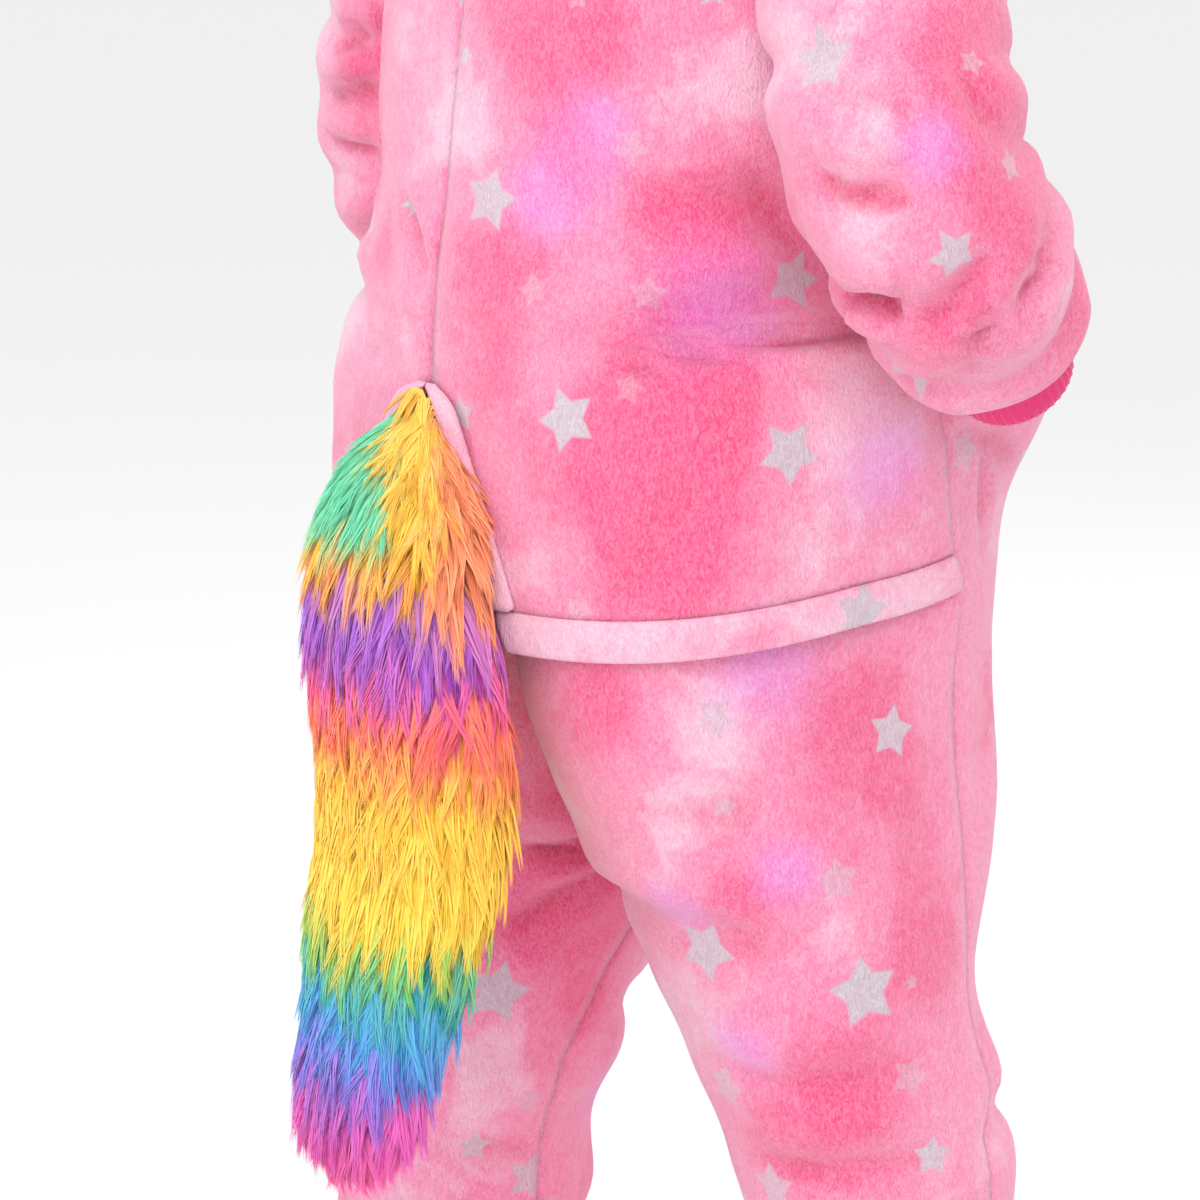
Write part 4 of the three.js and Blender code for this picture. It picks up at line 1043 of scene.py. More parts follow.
def star_frame(middle, normal, up, turn, radius, strength):
    up = unit(up - normal * (up @ normal))
    across = np.cross(up, normal)
    c, s = math.cos(math.radians(turn)), math.sin(math.radians(turn))
    return {
        "middle": middle,
        "radius": radius,
        "strength": strength,
        "up": up * c + across * s,
        "across": across * c - up * s,
    }


def in_photo(x, y, past):
    last = CAMERA["photo"] + past
    return (x > -past) & (x < last) & (y > -past) & (y < last)


def pixel_size(depth):
    return depth * CAMERA["half_view"] * 2 / CAMERA["photo"]


def photo_stars(panels):
    """The stars that the photo shows, each on the panel that the camera sees at its pixel."""
    found = {panel.name: [] for panel in panels}
    for across, down, size, turn, strength in PHOTO_STARS:
        best = None
        for panel in panels:
            points, normals = panel.face.reshape(-1, 3), panel.normals.reshape(-1, 3)
            x, y, depth = photo_spot(points)
            facing = seen_from_camera(points, normals)
            away = np.hypot(x - across, y - down)
            near = np.nonzero(facing & (away < 14))[0]
            if len(near):
                pick = near[np.argmin(away[near] + 0.4 * (depth[near] - depth[near].min()))]
                if best is None or depth[pick] < best[0] - 25:
                    best = depth[pick], panel, points[pick], normals[pick]
        if best is not None:
            depth, panel, middle, normal = best
            radius = size * STAR_TIP * pixel_size(depth)
            found[panel.name].append(star_frame(middle, normal, UPRIGHT, turn, radius, strength))
    return found


def hidden_stars(panel, known, seed):
    """Like stars where the photo doesn't reach, kept apart from each other."""
    draw = random.Random(seed)
    points, normals = panel.face.reshape(-1, 3), panel.normals.reshape(-1, 3)
    x, y, _ = photo_spot(points)
    facing = seen_from_camera(points, normals)
    free = np.nonzero(~(facing & in_photo(x, y, 0)))[0]
    stars = list(known)
    for _ in range(900):
        if not len(free):
            break
        pick = free[draw.randrange(len(free))]
        gaps = [np.linalg.norm(points[pick] - s["middle"]) for s in stars]
        if gaps and min(gaps) < HIDDEN_STARS["apart"] * draw.uniform(0.8, 1.25):
            continue
        radius = draw.uniform(*HIDDEN_STARS["sizes"]) / 2
        strength = draw.choice((0.4, 0.55, 0.9, 0.95, 1.0))
        up = UPRIGHT if abs(normals[pick][2]) < LEVEL else np.array([0, 1.0, 0])
        stars.append(star_frame(points[pick], normals[pick], up, draw.uniform(-36, 36), radius, strength))
    return stars


# Dye


def dye_patches(panels):
    """Centres, radii and tones of the dye's patches: those in the photo, and seeded ones elsewhere."""
    points = np.concatenate([panel.face.reshape(-1, 3) for panel in panels])
    normals = np.concatenate([panel.normals.reshape(-1, 3) for panel in panels])
    seen = Seen(points, normals)
    patches, lilac = [], []
    for listed, store in ((DYE_PATCHES, patches), (LILAC_PATCHES, lilac)):
        for across, down, radius, *tone in listed:
            pick = seen.nearest(across, down, 0.05 * (seen.depth - seen.depth.min()))
            wide = radius * pixel_size(seen.depth[pick]) * (1 if tone else LILAC_WIDER)
            store.append((points[pick], wide, tone[0] if tone else 1))
    draw = random.Random(HIDDEN_DYE["seed"])
    inside = in_photo(seen.x, seen.y, 30)
    free = np.nonzero(~(inside & (seen.hidden == 0)))[0]
    centres = [patch[0] for patch in patches]
    for _ in range(2600):
        spot = points[free[draw.randrange(len(free))]]
        if min(np.linalg.norm(np.array(centres) - spot, axis=1)) < HIDDEN_DYE["apart"]:
            continue
        centres.append(spot)
        radius = draw.uniform(*HIDDEN_DYE["radius"])
        if draw.random() < HIDDEN_DYE["lilac_share"]:
            lilac.append((spot, radius * 0.6, 1))
        else:
            patches.append((spot, radius, draw.choice((-1, -0.9, -0.6, 0.3, 0.5, 0.7))))
    return patches, lilac


def dye_at(points, patches):
    total = np.zeros(len(points))
    for centre, radius, tone in patches:
        total += tone * np.exp(-np.sum((points - centre) ** 2, axis=1) / radius**2)
    return total


# Panels


def flat_relief(name, side, points, levels, shares, free=(), turn=1):
    """Creases, soft waves and sunk seams of a flat-cut panel."""
    seed = CLOTH_SEEDS[name]
    u, v, width, length = cloth_runs(points)
    relief = all_creases(name, side, points, grid_normals(points) * turn, levels, shares)
    relief += swells(points, seed, CLOTH_WAVES)
    edges = {"first": u, "last": width - u, "top": v, "end": length - v}
    runs = {"first": v, "last": v, "top": u, "end": u}
    for edge in edges.keys() - set(free):
        relief *= smooth(-1, SEAM_CALM, edges[edge])
    for k, (edge, distance) in enumerate(edges.items()):
        sewn = SEAM_ROLL.get((name.rsplit("_", 1)[0], edge), SEWN_ROLL)
        relief += seam_relief(distance, *(FREE_ROLL if edge in free else sewn))
        if edge not in free:
            relief += pucker(runs[edge], distance, seed * 7 + k)
    return relief


def back_panel(side):
    levels = flap_levels()
    shares = np.linspace(0, 1, 52)
    points = back_at(side, shares[None, :], levels[:, None], np.zeros((len(levels), len(shares))))
    name = f"back_{side}"
    relief = flat_relief(name, side, points, levels, shares)
    return Panel(name, side, points, relief=relief)


def seat_panel(side):
    levels = seat_levels()
    shares = np.linspace(0, 1, 48)
    points = seat_at(side, shares[None, :], levels[:, None], np.zeros((len(levels), len(shares))))
    name = f"leg_back_{side}"
    relief = flat_relief(name, side, points, levels, shares, free=("top",))
    under_flap = smooth(HEM_Z - 30, HEM_Z + 20, levels)[:, None]
    relief = relief * (1 - 0.7 * under_flap)
    return Panel(name, side, points, relief=relief)


def front_shares():
    slit, side_front = np.linspace(SLIT_FROM, SLIT_TO, 5), np.linspace(SLIT_TO, 1, 34)
    return np.concatenate([np.linspace(0, SLIT_FROM, 12), slit[1:], side_front[1:]])


def front_panel(side):
    levels, shares = front_levels(), front_shares()
    spread = slit_shares(shares, levels)
    points = front_at(side, spread, levels[:, None], np.zeros(spread.shape))
    name = f"front_{side}"
    relief = flat_relief(name, side, points, levels, shares)
    middle = (shares[1:] + shares[:-1]) / 2
    height = (levels[1:] + levels[:-1]) / 2
    in_slit = (middle > SLIT_FROM) & (middle < SLIT_TO)
    in_rows = (height < POCKET["top_z"]) & (height > POCKET["mouth_z"])
    return Panel(name, side, points, open_cells=in_rows[:, None] & in_slit[None, :], relief=relief)


def pocket_bag(side):
    levels = front_levels()
    levels = levels[(levels <= POCKET["bag_top_z"] + 3) & (levels >= POCKET["bag_end_z"] - 3)]
    shares = front_shares()
    shares = shares[shares <= POCKET["bag_share"]]
    spread = slit_shares(shares, levels)
    down = np.sin(np.pi * np.linspace(0, 1, len(levels)))[:, None] ** 0.7
    across = np.sin(np.pi * np.linspace(0, 1, len(shares)))[None, :] ** 0.7
    out = -FLEECE - SEAM_GAP - 1.6 - POCKET["bag_depth"] * down * across
    points = front_at(side, spread, levels[:, None], out)
    return Panel(f"pocket_bag_{side}", side, points, wall=POCKET["wall"])


def sleeve_panel(side):
    columns = 84
    points = sleeve_grid(side, columns, 0)
    u, v, _, length = cloth_runs(points)
    name = f"sleeve_{side}"
    seed = CLOTH_SEEDS[name]
    relief = all_creases(name, side, points, grid_normals(points, True))
    relief += swells(points, seed, SLEEVE_WAVES) * smooth(0, 25, v)
    relief += seam_relief(v, 1.2, 8) + pucker(u, v, seed + 2, 1.0, 20)
    beside = beside_body(points, 0.0)[..., 0] - points[..., 0]
    pressed = (points[..., 0] > -215) & (np.abs(beside) < 1.5)
    relief = np.where(pressed, np.minimum(relief, 0), relief) * (1 - smooth(12, 0, length - v))
    return Panel(name, side, points, wraps=True, relief=relief)


def hood_point(share, rise):
    row = row_at(HOOD, rise)
    x, y = oval(row, 0, 90 + 180 * np.minimum(1, row["edge"]) * share)
    lean = NECK_LEAN["share"] * y * (1 - smooth(0, NECK_LEAN["above"], rise))
    return stack(np.minimum(x, 0), y, rise + lean)


def hood_panel(side):
    crown = 240 + 44 * np.sin(np.linspace(0, np.pi / 2, 18))
    rises = np.concatenate([np.linspace(-NECK_TUCK, 240, 44), crown[1:]])
    shares = np.linspace(0, 1, 54)
    points = hood_point(shares[None, :], np.broadcast_to(rises[:, None], (len(rises), len(shares))))
    name = f"hood_{side}"
    relief = flat_relief(name, side, points, rises, shares, ("last", "end"), -1)
    relief *= smooth(284, 262, rises)[:, None]
    panel = Panel(name, side, points, flip=True, relief=relief)
    keep = np.minimum if side == "right" else np.maximum
    for grid in (panel.face, panel.inside):
        grid[..., 0] = keep(grid[..., 0], 0)
    return panel


# Strips


def round_steps(count):
    return np.linspace(0, 2 * np.pi, count, endpoint=False)


def tube_object(name, sections, material, flip):
    """A closed strip through sections of equal count."""
    count, size = sections.shape[:2]
    s, k = np.meshgrid(np.arange(count - 1), np.arange(size), indexing="ij")
    a, b = (s * size + k).ravel(), (s * size + (k + 1) % size).ravel()
    faces = list(np.stack([a, b, b + size, a + size], 1))
    faces.append(np.arange(size)[::-1])
    faces.append(np.arange(size) + (count - 1) * size)
    if flip:
        faces = [f[::-1] for f in faces]
    mesh = to_mesh(name, sections.reshape(-1, 3), faces)
    return to_object(name, mesh, material)


def band(name, side, sections, material):
    """A padded strip in one even, pale tone of dye."""
    piece = tube_object(name, np.array(sections) * mirror(side), material, side == "left")
    layer = piece.data.attributes.new("dye", "FLOAT", "POINT")
    layer.data.foreach_set("value", np.full(len(piece.data.vertices), BAND_TONE, np.float32))
    return piece


def hem_band(side, material):
    top = BAND_TOP_Z - SEAM_GAP
    outline = round_steps(20)
    shares = np.linspace(0, 0.996, 90)
    draw = random.Random(61)
    wobble = sum(np.sin(shares * 2 * math.pi * f + draw.uniform(0, 6)) for f in (3, 7, 12, 19)) / 4
    sections = []
    for share, wave in zip(shares, wobble):
        across = 0.5 - 0.5 * np.cos(outline)
        out = np.sign(np.sin(outline)) * np.abs(np.sin(outline)) ** 0.8 * 0.56 + 0.1 * across
        z = mix(top + 1.8, HEM_Z, across)
        puff = HEM_BAND["thick"] * (1 + 0.16 * wave)
        sections.append(back_at(side, np.full(len(z), share), z, out * puff))
    return band(f"hem_band_{side}", side, sections, material)


def notch_band(side, material):
    rows = np.linspace(NOTCH_Z + NOTCH_BAND["rise"], BAND_TOP_Z + NOTCH_BAND["above"], 60)
    outline = round_steps(16)
    sections = []
    for i, z in enumerate(rows):
        across = 0.52 - 0.48 * np.cos(outline)
        ends = min(1, math.sqrt(max(0.03, 1 - (1 - min(1, i / 7)) ** 2)), 0.5 + (len(rows) - 1 - i) / 3)
        out = (0.32 - np.sign(np.sin(outline)) * 0.42 * np.abs(np.sin(outline)) ** 0.8) * ends
        angle = notch_angle(np.full(16, z), NOTCH_BAND["width"] * across * (0.3 + 0.7 * ends))
        sections.append(bodice_at(side, angle, np.full(16, z), out * NOTCH_BAND["thick"] + 2.0))
    return band(f"notch_band_{side}", side, sections, material)


def strip_spot(x, z, out):
    row = row_at(BODICE, z)
    turn = np.degrees(np.arcsin(np.abs(x / row["half"]) ** (row["square"] / 2)))
    spots = bodice_at("right", 270 - turn, z, out)
    spots[..., 0] *= np.where(np.asarray(x) > 0, -1, 1)
    return spots


def placket_panel():
    levels = flap_levels()
    levels = levels[levels <= PLACKET["top_z"] + 3]
    shares = np.linspace(-1, 1, 15)
    x = np.broadcast_to(shares[None, :] * PLACKET["half"], (len(levels), len(shares)))
    z = np.broadcast_to(levels[:, None], x.shape)
    stitched = np.abs(np.abs(shares[None, :]) - PLACKET["stitch_share"]) * PLACKET["half"]
    crown = -PLACKET["edge_drop"] * shares[None, :] ** 2 + seam_relief(stitched, 0.5, 2.2)
    points = strip_spot(x, z, PLACKET["thick"] + SEAM_GAP + crown)
    return Panel("button_strip", "right", points, wall=PLACKET["thick"] - 0.6)


def rib_tube(name, rings, material, flip):
    """A knitted cuff: ribs on its face over a plain inside, with both ends rounded."""
    outer, inner = rings
    faces, _ = shell_faces(*outer.shape[:2], True, flip, None)
    mesh = to_mesh(name, np.concatenate([outer.reshape(-1, 3), inner.reshape(-1, 3)]), faces)
    return to_object(name, mesh, material)


def cuff_profile(rows, wall):
    """How far each row's face and inside draw in at the ends of a cuff."""
    ends = np.minimum(np.arange(rows), np.arange(rows)[::-1])
    return wall * 0.45 * np.clip(1 - ends / 2.0, 0, 1) ** 2


def rib_relief(phi, ribs, groove):
    return -groove * (0.5 - 0.5 * np.cos(ribs * phi)) ** 0.8


def cuff_reach(cuff):
    """Angles and rows of a cuff, and how far out its ribbed face and its inside are."""
    columns, rows = cuff["ribs"] * 8, cuff["rows"]
    phi = np.broadcast_to(2 * np.pi * np.arange(columns)[None, :] / columns, (rows, columns))
    drawn = cuff_profile(rows, RIB_KNIT)[:, None]
    outer = cuff["radius"] + rib_relief(phi, cuff["ribs"], cuff["groove"]) - drawn
    inner = cuff["radius"] - RIB_KNIT + 0 * phi + drawn * 0.4
    return phi, np.linspace(0, 1, rows)[:, None], (outer, inner)


def wrist_cuff(side, material):
    curve = arm_curve(side)
    phi, down, reaches = cuff_reach(WRIST_CUFF)
    along = np.linspace(WRIST_CUFF["from"], WRIST_CUFF["to"], len(down))[:, None]
    along = np.broadcast_to(along, phi.shape)
    past = np.broadcast_to(WRIST_CUFF["past"] * down**2, phi.shape)
    rings = [ring_spot(curve, along, phi, reach, past) * mirror(side) for reach in reaches]
    return rib_tube(f"wrist_cuff_{side}", rings, material, side == "left")


def ankle_cuff(side, material):
    phi, down, reaches = cuff_reach(ANKLE_CUFF)
    z = np.broadcast_to(LEG_END_Z - SEAM_GAP - ANKLE_CUFF["length"] * down, phi.shape)
    middle = (TROUSERS["back"][-1] + TROUSERS["front"][-1]) / 2 + STANCE[side][-1]
    rings = []
    for reach in reaches:
        x, y = -TROUSERS["mid"][-1] + reach * np.cos(phi), middle + reach * np.sin(phi)
        rings.append(stack(x, y, z) * mirror(side))
    return rib_tube(f"ankle_cuff_{side}", rings, material, side == "left")


# Buttons

BUTTON_PROFILE = [(5.2, 0.2), (6.4, 0.9), (7.6, 1.25), (8.6, 0.9), (9, 0), (8.7, -1.1), (7.4, -1.6)]
THREAD = {"off": 1.7, "reach": 2.5, "sunk": 0.15, "rise": 0.75, "radius": 0.55, "steps": 8, "sides": 6}


def button_object(number, material, thread):
    """A round button with a raised rim, a dished face and two stitches of thread across it where its four
    holes are sewn; the holes are not cut.
    """
    sides = 40
    points, faces = [], []
    for radius, height in BUTTON_PROFILE:
        for k in range(sides):
            turn = 2 * math.pi * k / sides
            points.append((radius * math.cos(turn), radius * math.sin(turn), height))
    rings = len(BUTTON_PROFILE)
    for r in range(rings - 1):
        for k in range(sides):
            n = (k + 1) % sides
            faces.append((r * sides + k, (r + 1) * sides + k, (r + 1) * sides + n, r * sides + n))
    faces.append(tuple(range(sides)))
    faces.append(tuple(reversed(range((rings - 1) * sides, rings * sides))))
    plain = len(faces)
    steps, size = THREAD["steps"], THREAD["sides"]
    for y in (THREAD["off"], -THREAD["off"]):
        base = len(points)
        for k in range(steps + 1):
            t = k / steps
            cx = THREAD["reach"] * (2 * t - 1)
            cz = THREAD["sunk"] + THREAD["rise"] * math.sin(math.pi * t)
            for j in range(size):
                turn = 2 * math.pi * j / size
                across, up = THREAD["radius"] * math.cos(turn), THREAD["radius"] * math.sin(turn)
                points.append((cx, y + across, cz + up))
        for k in range(steps):
            low, high = base + k * size, base + (k + 1) * size
            for j in range(size):
                n = (j + 1) % size
                faces.append((low + j, low + n, high + n, high + j))
    z = BUTTON["first_z"] - BUTTON["pitch"] * number
    face = PLACKET["thick"] + SEAM_GAP
    heights = z, z + BUTTON["radius"], z - BUTTON["radius"]
    seat, above, below = (strip_spot(np.array(0.0), np.array(float(h)), face) for h in heights)
    up = unit(above - below)
    out = unit(np.cross(up, [1.0, 0, 0])) * (1 if np.cross(up, [1.0, 0, 0])[1] < 0 else -1)
    middle = np.array([0, seat[1] - BUTTON["thick"] / 2 - BUTTON["clear"], seat[2]])
    basis = np.stack([[1.0, 0, 0], np.cross(out, [1.0, 0, 0]), out])
    placed_points = middle + np.array(points) @ basis
    mesh = to_mesh(f"button_{number + 1}", placed_points, [np.array(f) for f in faces])
    piece = to_object(mesh.name, mesh, material)
    mesh.materials.append(thread)
    slots = np.zeros(len(mesh.polygons), np.int32)
    slots[plain:] = 1
    mesh.polygons.foreach_set("material_index", slots)
    return piece


# Tail

TAIL_INSET = {"most": 13, "least": 4, "from_z": -450, "to_z": -540}
TAIL_ROOT = {"fill_z": -480, "past_notch": 4}

# One lock, how many kinds of it there are, and how many each piece of fur has

FUR = {"length": 50.0, "locks": 800, "variants": 6, "strands": 24, "stations": 5, "seed": 7}
LOCK = {"half_wide": 6.2, "half_thick": 2.4, "sway": 7, "arch": 15.5, "closed": 0.92, "roll": 0.9}

# Pieces of fur: from which height down to which, and the share of the locks that the setting asks for

FUR_PARTS = [
    ("tail_fur_upper", -424, -590, 0.97),
    ("tail_fur_middle", -590, -745, 1),
    ("tail_fur_lower", -745, -910, 1),
]

# Between which heights in metres, and from what to what, the locks crowd at the root or change in size

FUR_CROWD = (-0.49, -0.445, 1.0, 5.0)
FUR_ROOT = (-0.5, -0.44, 1.0, 0.62)
FUR_TIP = (-0.9, -0.83, 0.5, 1.0)
FUR_SIZES = (0.72, 1.2)
FUR_DRIFT = (0.34, 0.2, 0.2)

# No fur grows where the core faces the body more than this

BODY_SIDE = -0.55


def tail_core(material):
    """The stuffed core under the fur, flattened where it lies on the seat and flap."""
    levels = np.linspace(NOTCH_Z + 0.5, TAIL["z"][-1] + 16, 78)
    turns = round_steps(56)
    row = row_at(TAIL, levels[:, None])
    ease = smooth(TAIL_INSET["to_z"], TAIL_INSET["from_z"], levels)[:, None]
    inset = mix(TAIL_INSET["most"], TAIL_INSET["least"], ease)
    wide, thick = (np.maximum(4, row[k] - inset) for k in ("wide", "thick"))
    share = np.clip((NOTCH_Z - levels) / (NOTCH_Z - HEM_Z), 0, 1)[:, None]
    gap = NOTCH["half_width"] * mix(share, np.sqrt(share), NOTCH["round"])
    filled = np.maximum(wide, gap + TAIL_ROOT["past_notch"])
    wide = np.where(levels[:, None] > TAIL_ROOT["fill_z"], filled, wide)
    x = row["x"] + wide * np.cos(turns)[None, :]
    y = row["y"] + thick * np.sin(turns)[None, :]
    z = np.broadcast_to(levels[:, None], x.shape)
    flap = row_at(BODICE, np.maximum(z, HEM_Z))["back"] + 9
    seat = row_at(TROUSERS, z)["back"] + 6
    least = np.where(z > HEM_Z - 6, flap, seat)
    y = np.maximum(y, least * np.clip(1 - (np.abs(x) / 260) ** 2.4, 0, 1))
    return tube_object("tail_core", stack(x, y, z), material, True)


def lock_object(number, material):
    """One lock of fur: many flat strands that start side by side and meet in a curved point."""
    draw = random.Random(FUR["seed"] * 100 + number)
    points, faces = [], []
    length = FUR["length"] * draw.uniform(0.85, 1.15)
    sway = draw.uniform(-LOCK["sway"], LOCK["sway"])
    for _ in range(FUR["strands"]):
        turn, spread = draw.uniform(0, 2 * math.pi), math.sqrt(draw.random())
        side = LOCK["half_wide"] * spread * math.cos(turn)
        lift = LOCK["half_thick"] * spread * math.sin(turn)
        own = length * draw.uniform(0.72, 1.05)
        tip_side, tip_lift = draw.gauss(0, 0.9), draw.gauss(0, 0.8)
        width = draw.uniform(0.75, 1.25)
        roll = draw.uniform(-LOCK["roll"], LOCK["roll"])
        base = len(points)
        for k in range(FUR["stations"]):
            t = k / (FUR["stations"] - 1)
            pull = smooth(0, 1, t) * LOCK["closed"]
            y = side * (1 - pull) + tip_side * t + sway * t * t
            z = lift * (1 - pull) + tip_lift * t + LOCK["arch"] * (t - 0.62 * t * t)
            x = own * (t - 0.05 * t * t)
            half = width * (1 - t) ** 0.55 / 2 * (0.8 + 0.5 * math.sin(math.pi * t))
            if k < FUR["stations"] - 1:
                dy, dz = half * math.cos(roll), half * math.sin(roll)
                points += [(x, y - dy, z - dz), (x, y + dy, z + dz)]
            else:
                points.append((x, y, z))
        for k in range(FUR["stations"] - 2):
            a = base + 2 * k
            faces.append((a, a + 1, a + 3, a + 2))
        a = base + 2 * (FUR["stations"] - 2)
        faces.append((a, a + 1, a + 2))
    mesh = to_mesh(f"lock_{number}", points, [np.array(f) for f in faces])
    return to_object(mesh.name, mesh, material)


def fur_nodes():
    """Node group: locks of fur over a core between two heights, combed down and outwards."""
    inputs = [
        ("Geometry", "Geometry", None),
        ("Locks", "Collection", None),
        ("Count Density", "Float", 6000.0),
        ("Low", "Float", -1.0),
        ("High", "Float", 0.0),
        ("Fan", "Float", 0.6),
        ("Seed", "Int", 1),
        ("Material", "Material", None),
    ]
    outputs = [("Geometry", "Geometry")]
    group, g, given, result = node_group("Fur Locks", inputs, outputs, "GeometryNodeTree")
    position = g.node("GeometryNodeInputPosition").outputs[0]
    place, facing = g.split(position), g.split(g.node("GeometryNodeInputNormal").outputs[0])
    above = g.math("GREATER_THAN", place[2], given["Low"])
    under = g.math("LESS_THAN", place[2], given["High"])
    outward = g.math("GREATER_THAN", facing[1], BODY_SIDE)
    crowd, root, tip = (g.span(place[2], *ends, kind="LINEAR") for ends in (FUR_CROWD, FUR_ROOT, FUR_TIP))
    where = {
        "Mesh": given["Geometry"],
        "Selection": g.times(g.times(above, under), outward),
        "Density": g.times(given["Count Density"], crowd),
        "Seed": given["Seed"],
    }
    scatter = g.filled("GeometryNodeDistributePointsOnFaces", where, distribute_method="RANDOM").outputs
    chosen = {"Collection": given["Locks"], "Separate Children": True, "Reset Children": True}
    locks = g.filled("GeometryNodeCollectionInfo", chosen).outputs[0]

    least = tuple(-reach for reach in FUR_DRIFT)
    spread = {0: least, 1: FUR_DRIFT, "Seed": given["Seed"]}
    drift = g.filled("FunctionNodeRandomValue", spread, data_type="FLOAT_VECTOR").outputs[0]
    flow = g.filled("ShaderNodeCombineXYZ", {0: g.times(facing[0], given["Fan"]), 2: -1.0}).outputs[0]
    combed = g.filled("ShaderNodeVectorMath", {0: flow, 1: drift}, operation="ADD").outputs[0]
    align = "FunctionNodeAlignRotationToVector"
    stand = g.filled(align, {"Vector": scatter["Normal"]}, axis="Z").outputs[0]
    comb = g.filled(align, {"Rotation": stand, "Vector": combed}, axis="X", pivot_axis="Z").outputs[0]
    size = g.times(g.random(*FUR_SIZES), g.times(tip, root))
    laid = {
        "Points": scatter["Points"],
        "Instance": locks,
        "Pick Instance": True,
        "Rotation": comb,
        "Scale": size,
    }
    fur = g.filled("GeometryNodeInstanceOnPoints", laid).outputs[0]
    for name, kind, value in (("root", "FLOAT_VECTOR", position), ("shade", "FLOAT", g.random(0.0, 1.0))):
        kept = {"Geometry": fur, "Name": name, "Value": value}
        stored = g.filled("GeometryNodeStoreNamedAttribute", kept, data_type=kind, domain="INSTANCE")
        fur = stored.outputs[0]
    fur = g.filled("GeometryNodeRealizeInstances", {0: fur}).outputs[0]
    painted = g.filled("GeometryNodeSetMaterial", {"Geometry": fur, "Material": given["Material"]})
    g.put(result.inputs[0], painted.outputs[0])
    return group


def apply_nodes(name, host, group, values):
    """Runs a node group on a host mesh, and gives what it makes as a plain mesh object."""
    modifier = host.modifiers.new(name, "NODES")
    modifier.node_group = group
    keys = {}
    for item in group.interface.items_tree:
        if item.item_type == "SOCKET" and item.in_out == "INPUT":
            keys[item.name] = item.identifier
    for key, value in values.items():
        modifier[keys[key]] = value
    bpy.context.view_layer.update()
    graph = bpy.context.evaluated_depsgraph_get()
    made = host.evaluated_get(graph)
    mesh = bpy.data.meshes.new_from_object(made, preserve_all_data_layers=True, depsgraph=graph)
    host.modifiers.remove(modifier)
    mesh.name = name
    return to_object(name, mesh, None)


# Materials


def srgb(code):
    """A colour code as linear red, green and blue."""
    parts = [int(code[i : i + 2], 16) / 255 for i in (1, 3, 5)]
    return tuple(p / 12.92 if p <= 0.04045 else ((p + 0.055) / 1.055) ** 2.4 for p in parts)


class Graph:
    """Short ways to add nodes to a tree."""

    def __init__(self, tree):
        self.tree = tree

    def node(self, kind, **settings):
        made = self.tree.nodes.new(kind)
        for key, value in settings.items():
            setattr(made, key, value)
        return made

    def put(self, socket, value):
        if hasattr(value, "is_output"):
            self.tree.links.new(value, socket)
        elif socket.type == "RGBA":
            socket.default_value = (*value, 1)
        else:
            socket.default_value = value

    def fill(self, node, values):
        for key, value in values.items():
            self.put(node.inputs[key], value)

    def filled(self, kind, values, **settings):
        made = self.node(kind, **settings)
        self.fill(made, values)
        return made

    def math(self, operation, *values):
        return self.filled("ShaderNodeMath", dict(enumerate(values)), operation=operation).outputs[0]

    def plus(self, first, second):
        return self.math("ADD", first, second)

    def minus(self, first, second):
        return self.math("SUBTRACT", first, second)

    def times(self, first, second):
        return self.math("MULTIPLY", first, second)

    def sway(self, value, size):
        """A value from 0 to 1 as a shift to both sides."""
        return self.times(self.minus(value, 0.5), size)

    def length(self, x, y):
        return self.math("SQRT", self.plus(self.times(x, x), self.times(y, y)))

    def random(self, least, most):
        return self.filled("FunctionNodeRandomValue", {2: least, 3: most}, data_type="FLOAT").outputs[1]

    def split(self, vector):
        return self.filled("ShaderNodeSeparateXYZ", {0: vector}).outputs

    def scale(self, vector, factor):
        values = {0: vector, "Scale": factor}
        return self.filled("ShaderNodeVectorMath", values, operation="SCALE").outputs[0]

    def place(self):
        return self.node("ShaderNodeTexCoord").outputs["Object"]

    def attribute(self, name, output="Fac"):
        return self.node("ShaderNodeAttribute", attribute_name=name).outputs[output]

    def blend(self, share, first, second, kind="MIX"):
        values = {"Factor": share, 6: first, 7: second}
        return self.filled("ShaderNodeMix", values, data_type="RGBA", blend_type=kind).outputs[2]

    def noise(self, vector, scale, detail=2.0, rough=0.5, distortion=0.0):
        values = {"Scale": scale, "Detail": detail, "Roughness": rough, "Distortion": distortion}
        return self.filled("ShaderNodeTexNoise", {"Vector": vector, **values}).outputs["Fac"]

    def span(self, value, low, high, first=0.0, second=1.0, kind="SMOOTHSTEP"):
        values = {"Value": value, "From Min": low, "From Max": high, "To Min": first, "To Max": second}
        return self.filled("ShaderNodeMapRange", values, interpolation_type=kind).outputs[0]

    def ramp(self, value, stops):
        made = self.filled("ShaderNodeValToRGB", {0: value})
        bar = made.color_ramp
        while len(bar.elements) < len(stops):
            bar.elements.new(0.5)
        for element, (at, code) in zip(bar.elements, stops):
            element.position = at
            element.color = (*srgb(code), 1)
        return made.outputs[0]

    def group(self, group, values):
        made = self.node("ShaderNodeGroup")
        made.node_tree = group
        self.fill(made, values)
        return made.outputs

    def bump(self, shader, height, strength, distance):
        values = {"Strength": strength, "Distance": distance, "Height": height}
        self.put(shader.inputs["Normal"], self.filled("ShaderNodeBump", values).outputs[0])


def node_group(name, inputs, outputs, tree="ShaderNodeTree"):
    group = bpy.data.node_groups.new(name, tree)
    for label, kind, default in inputs:
        socket = group.interface.new_socket(label, in_out="INPUT", socket_type="NodeSocket" + kind)
        if default is not None:
            socket.default_value = default
    for label, kind in outputs:
        group.interface.new_socket(label, in_out="OUTPUT", socket_type="NodeSocket" + kind)
    graph = Graph(group)
    return group, graph, graph.node("NodeGroupInput").outputs, graph.node("NodeGroupOutput")


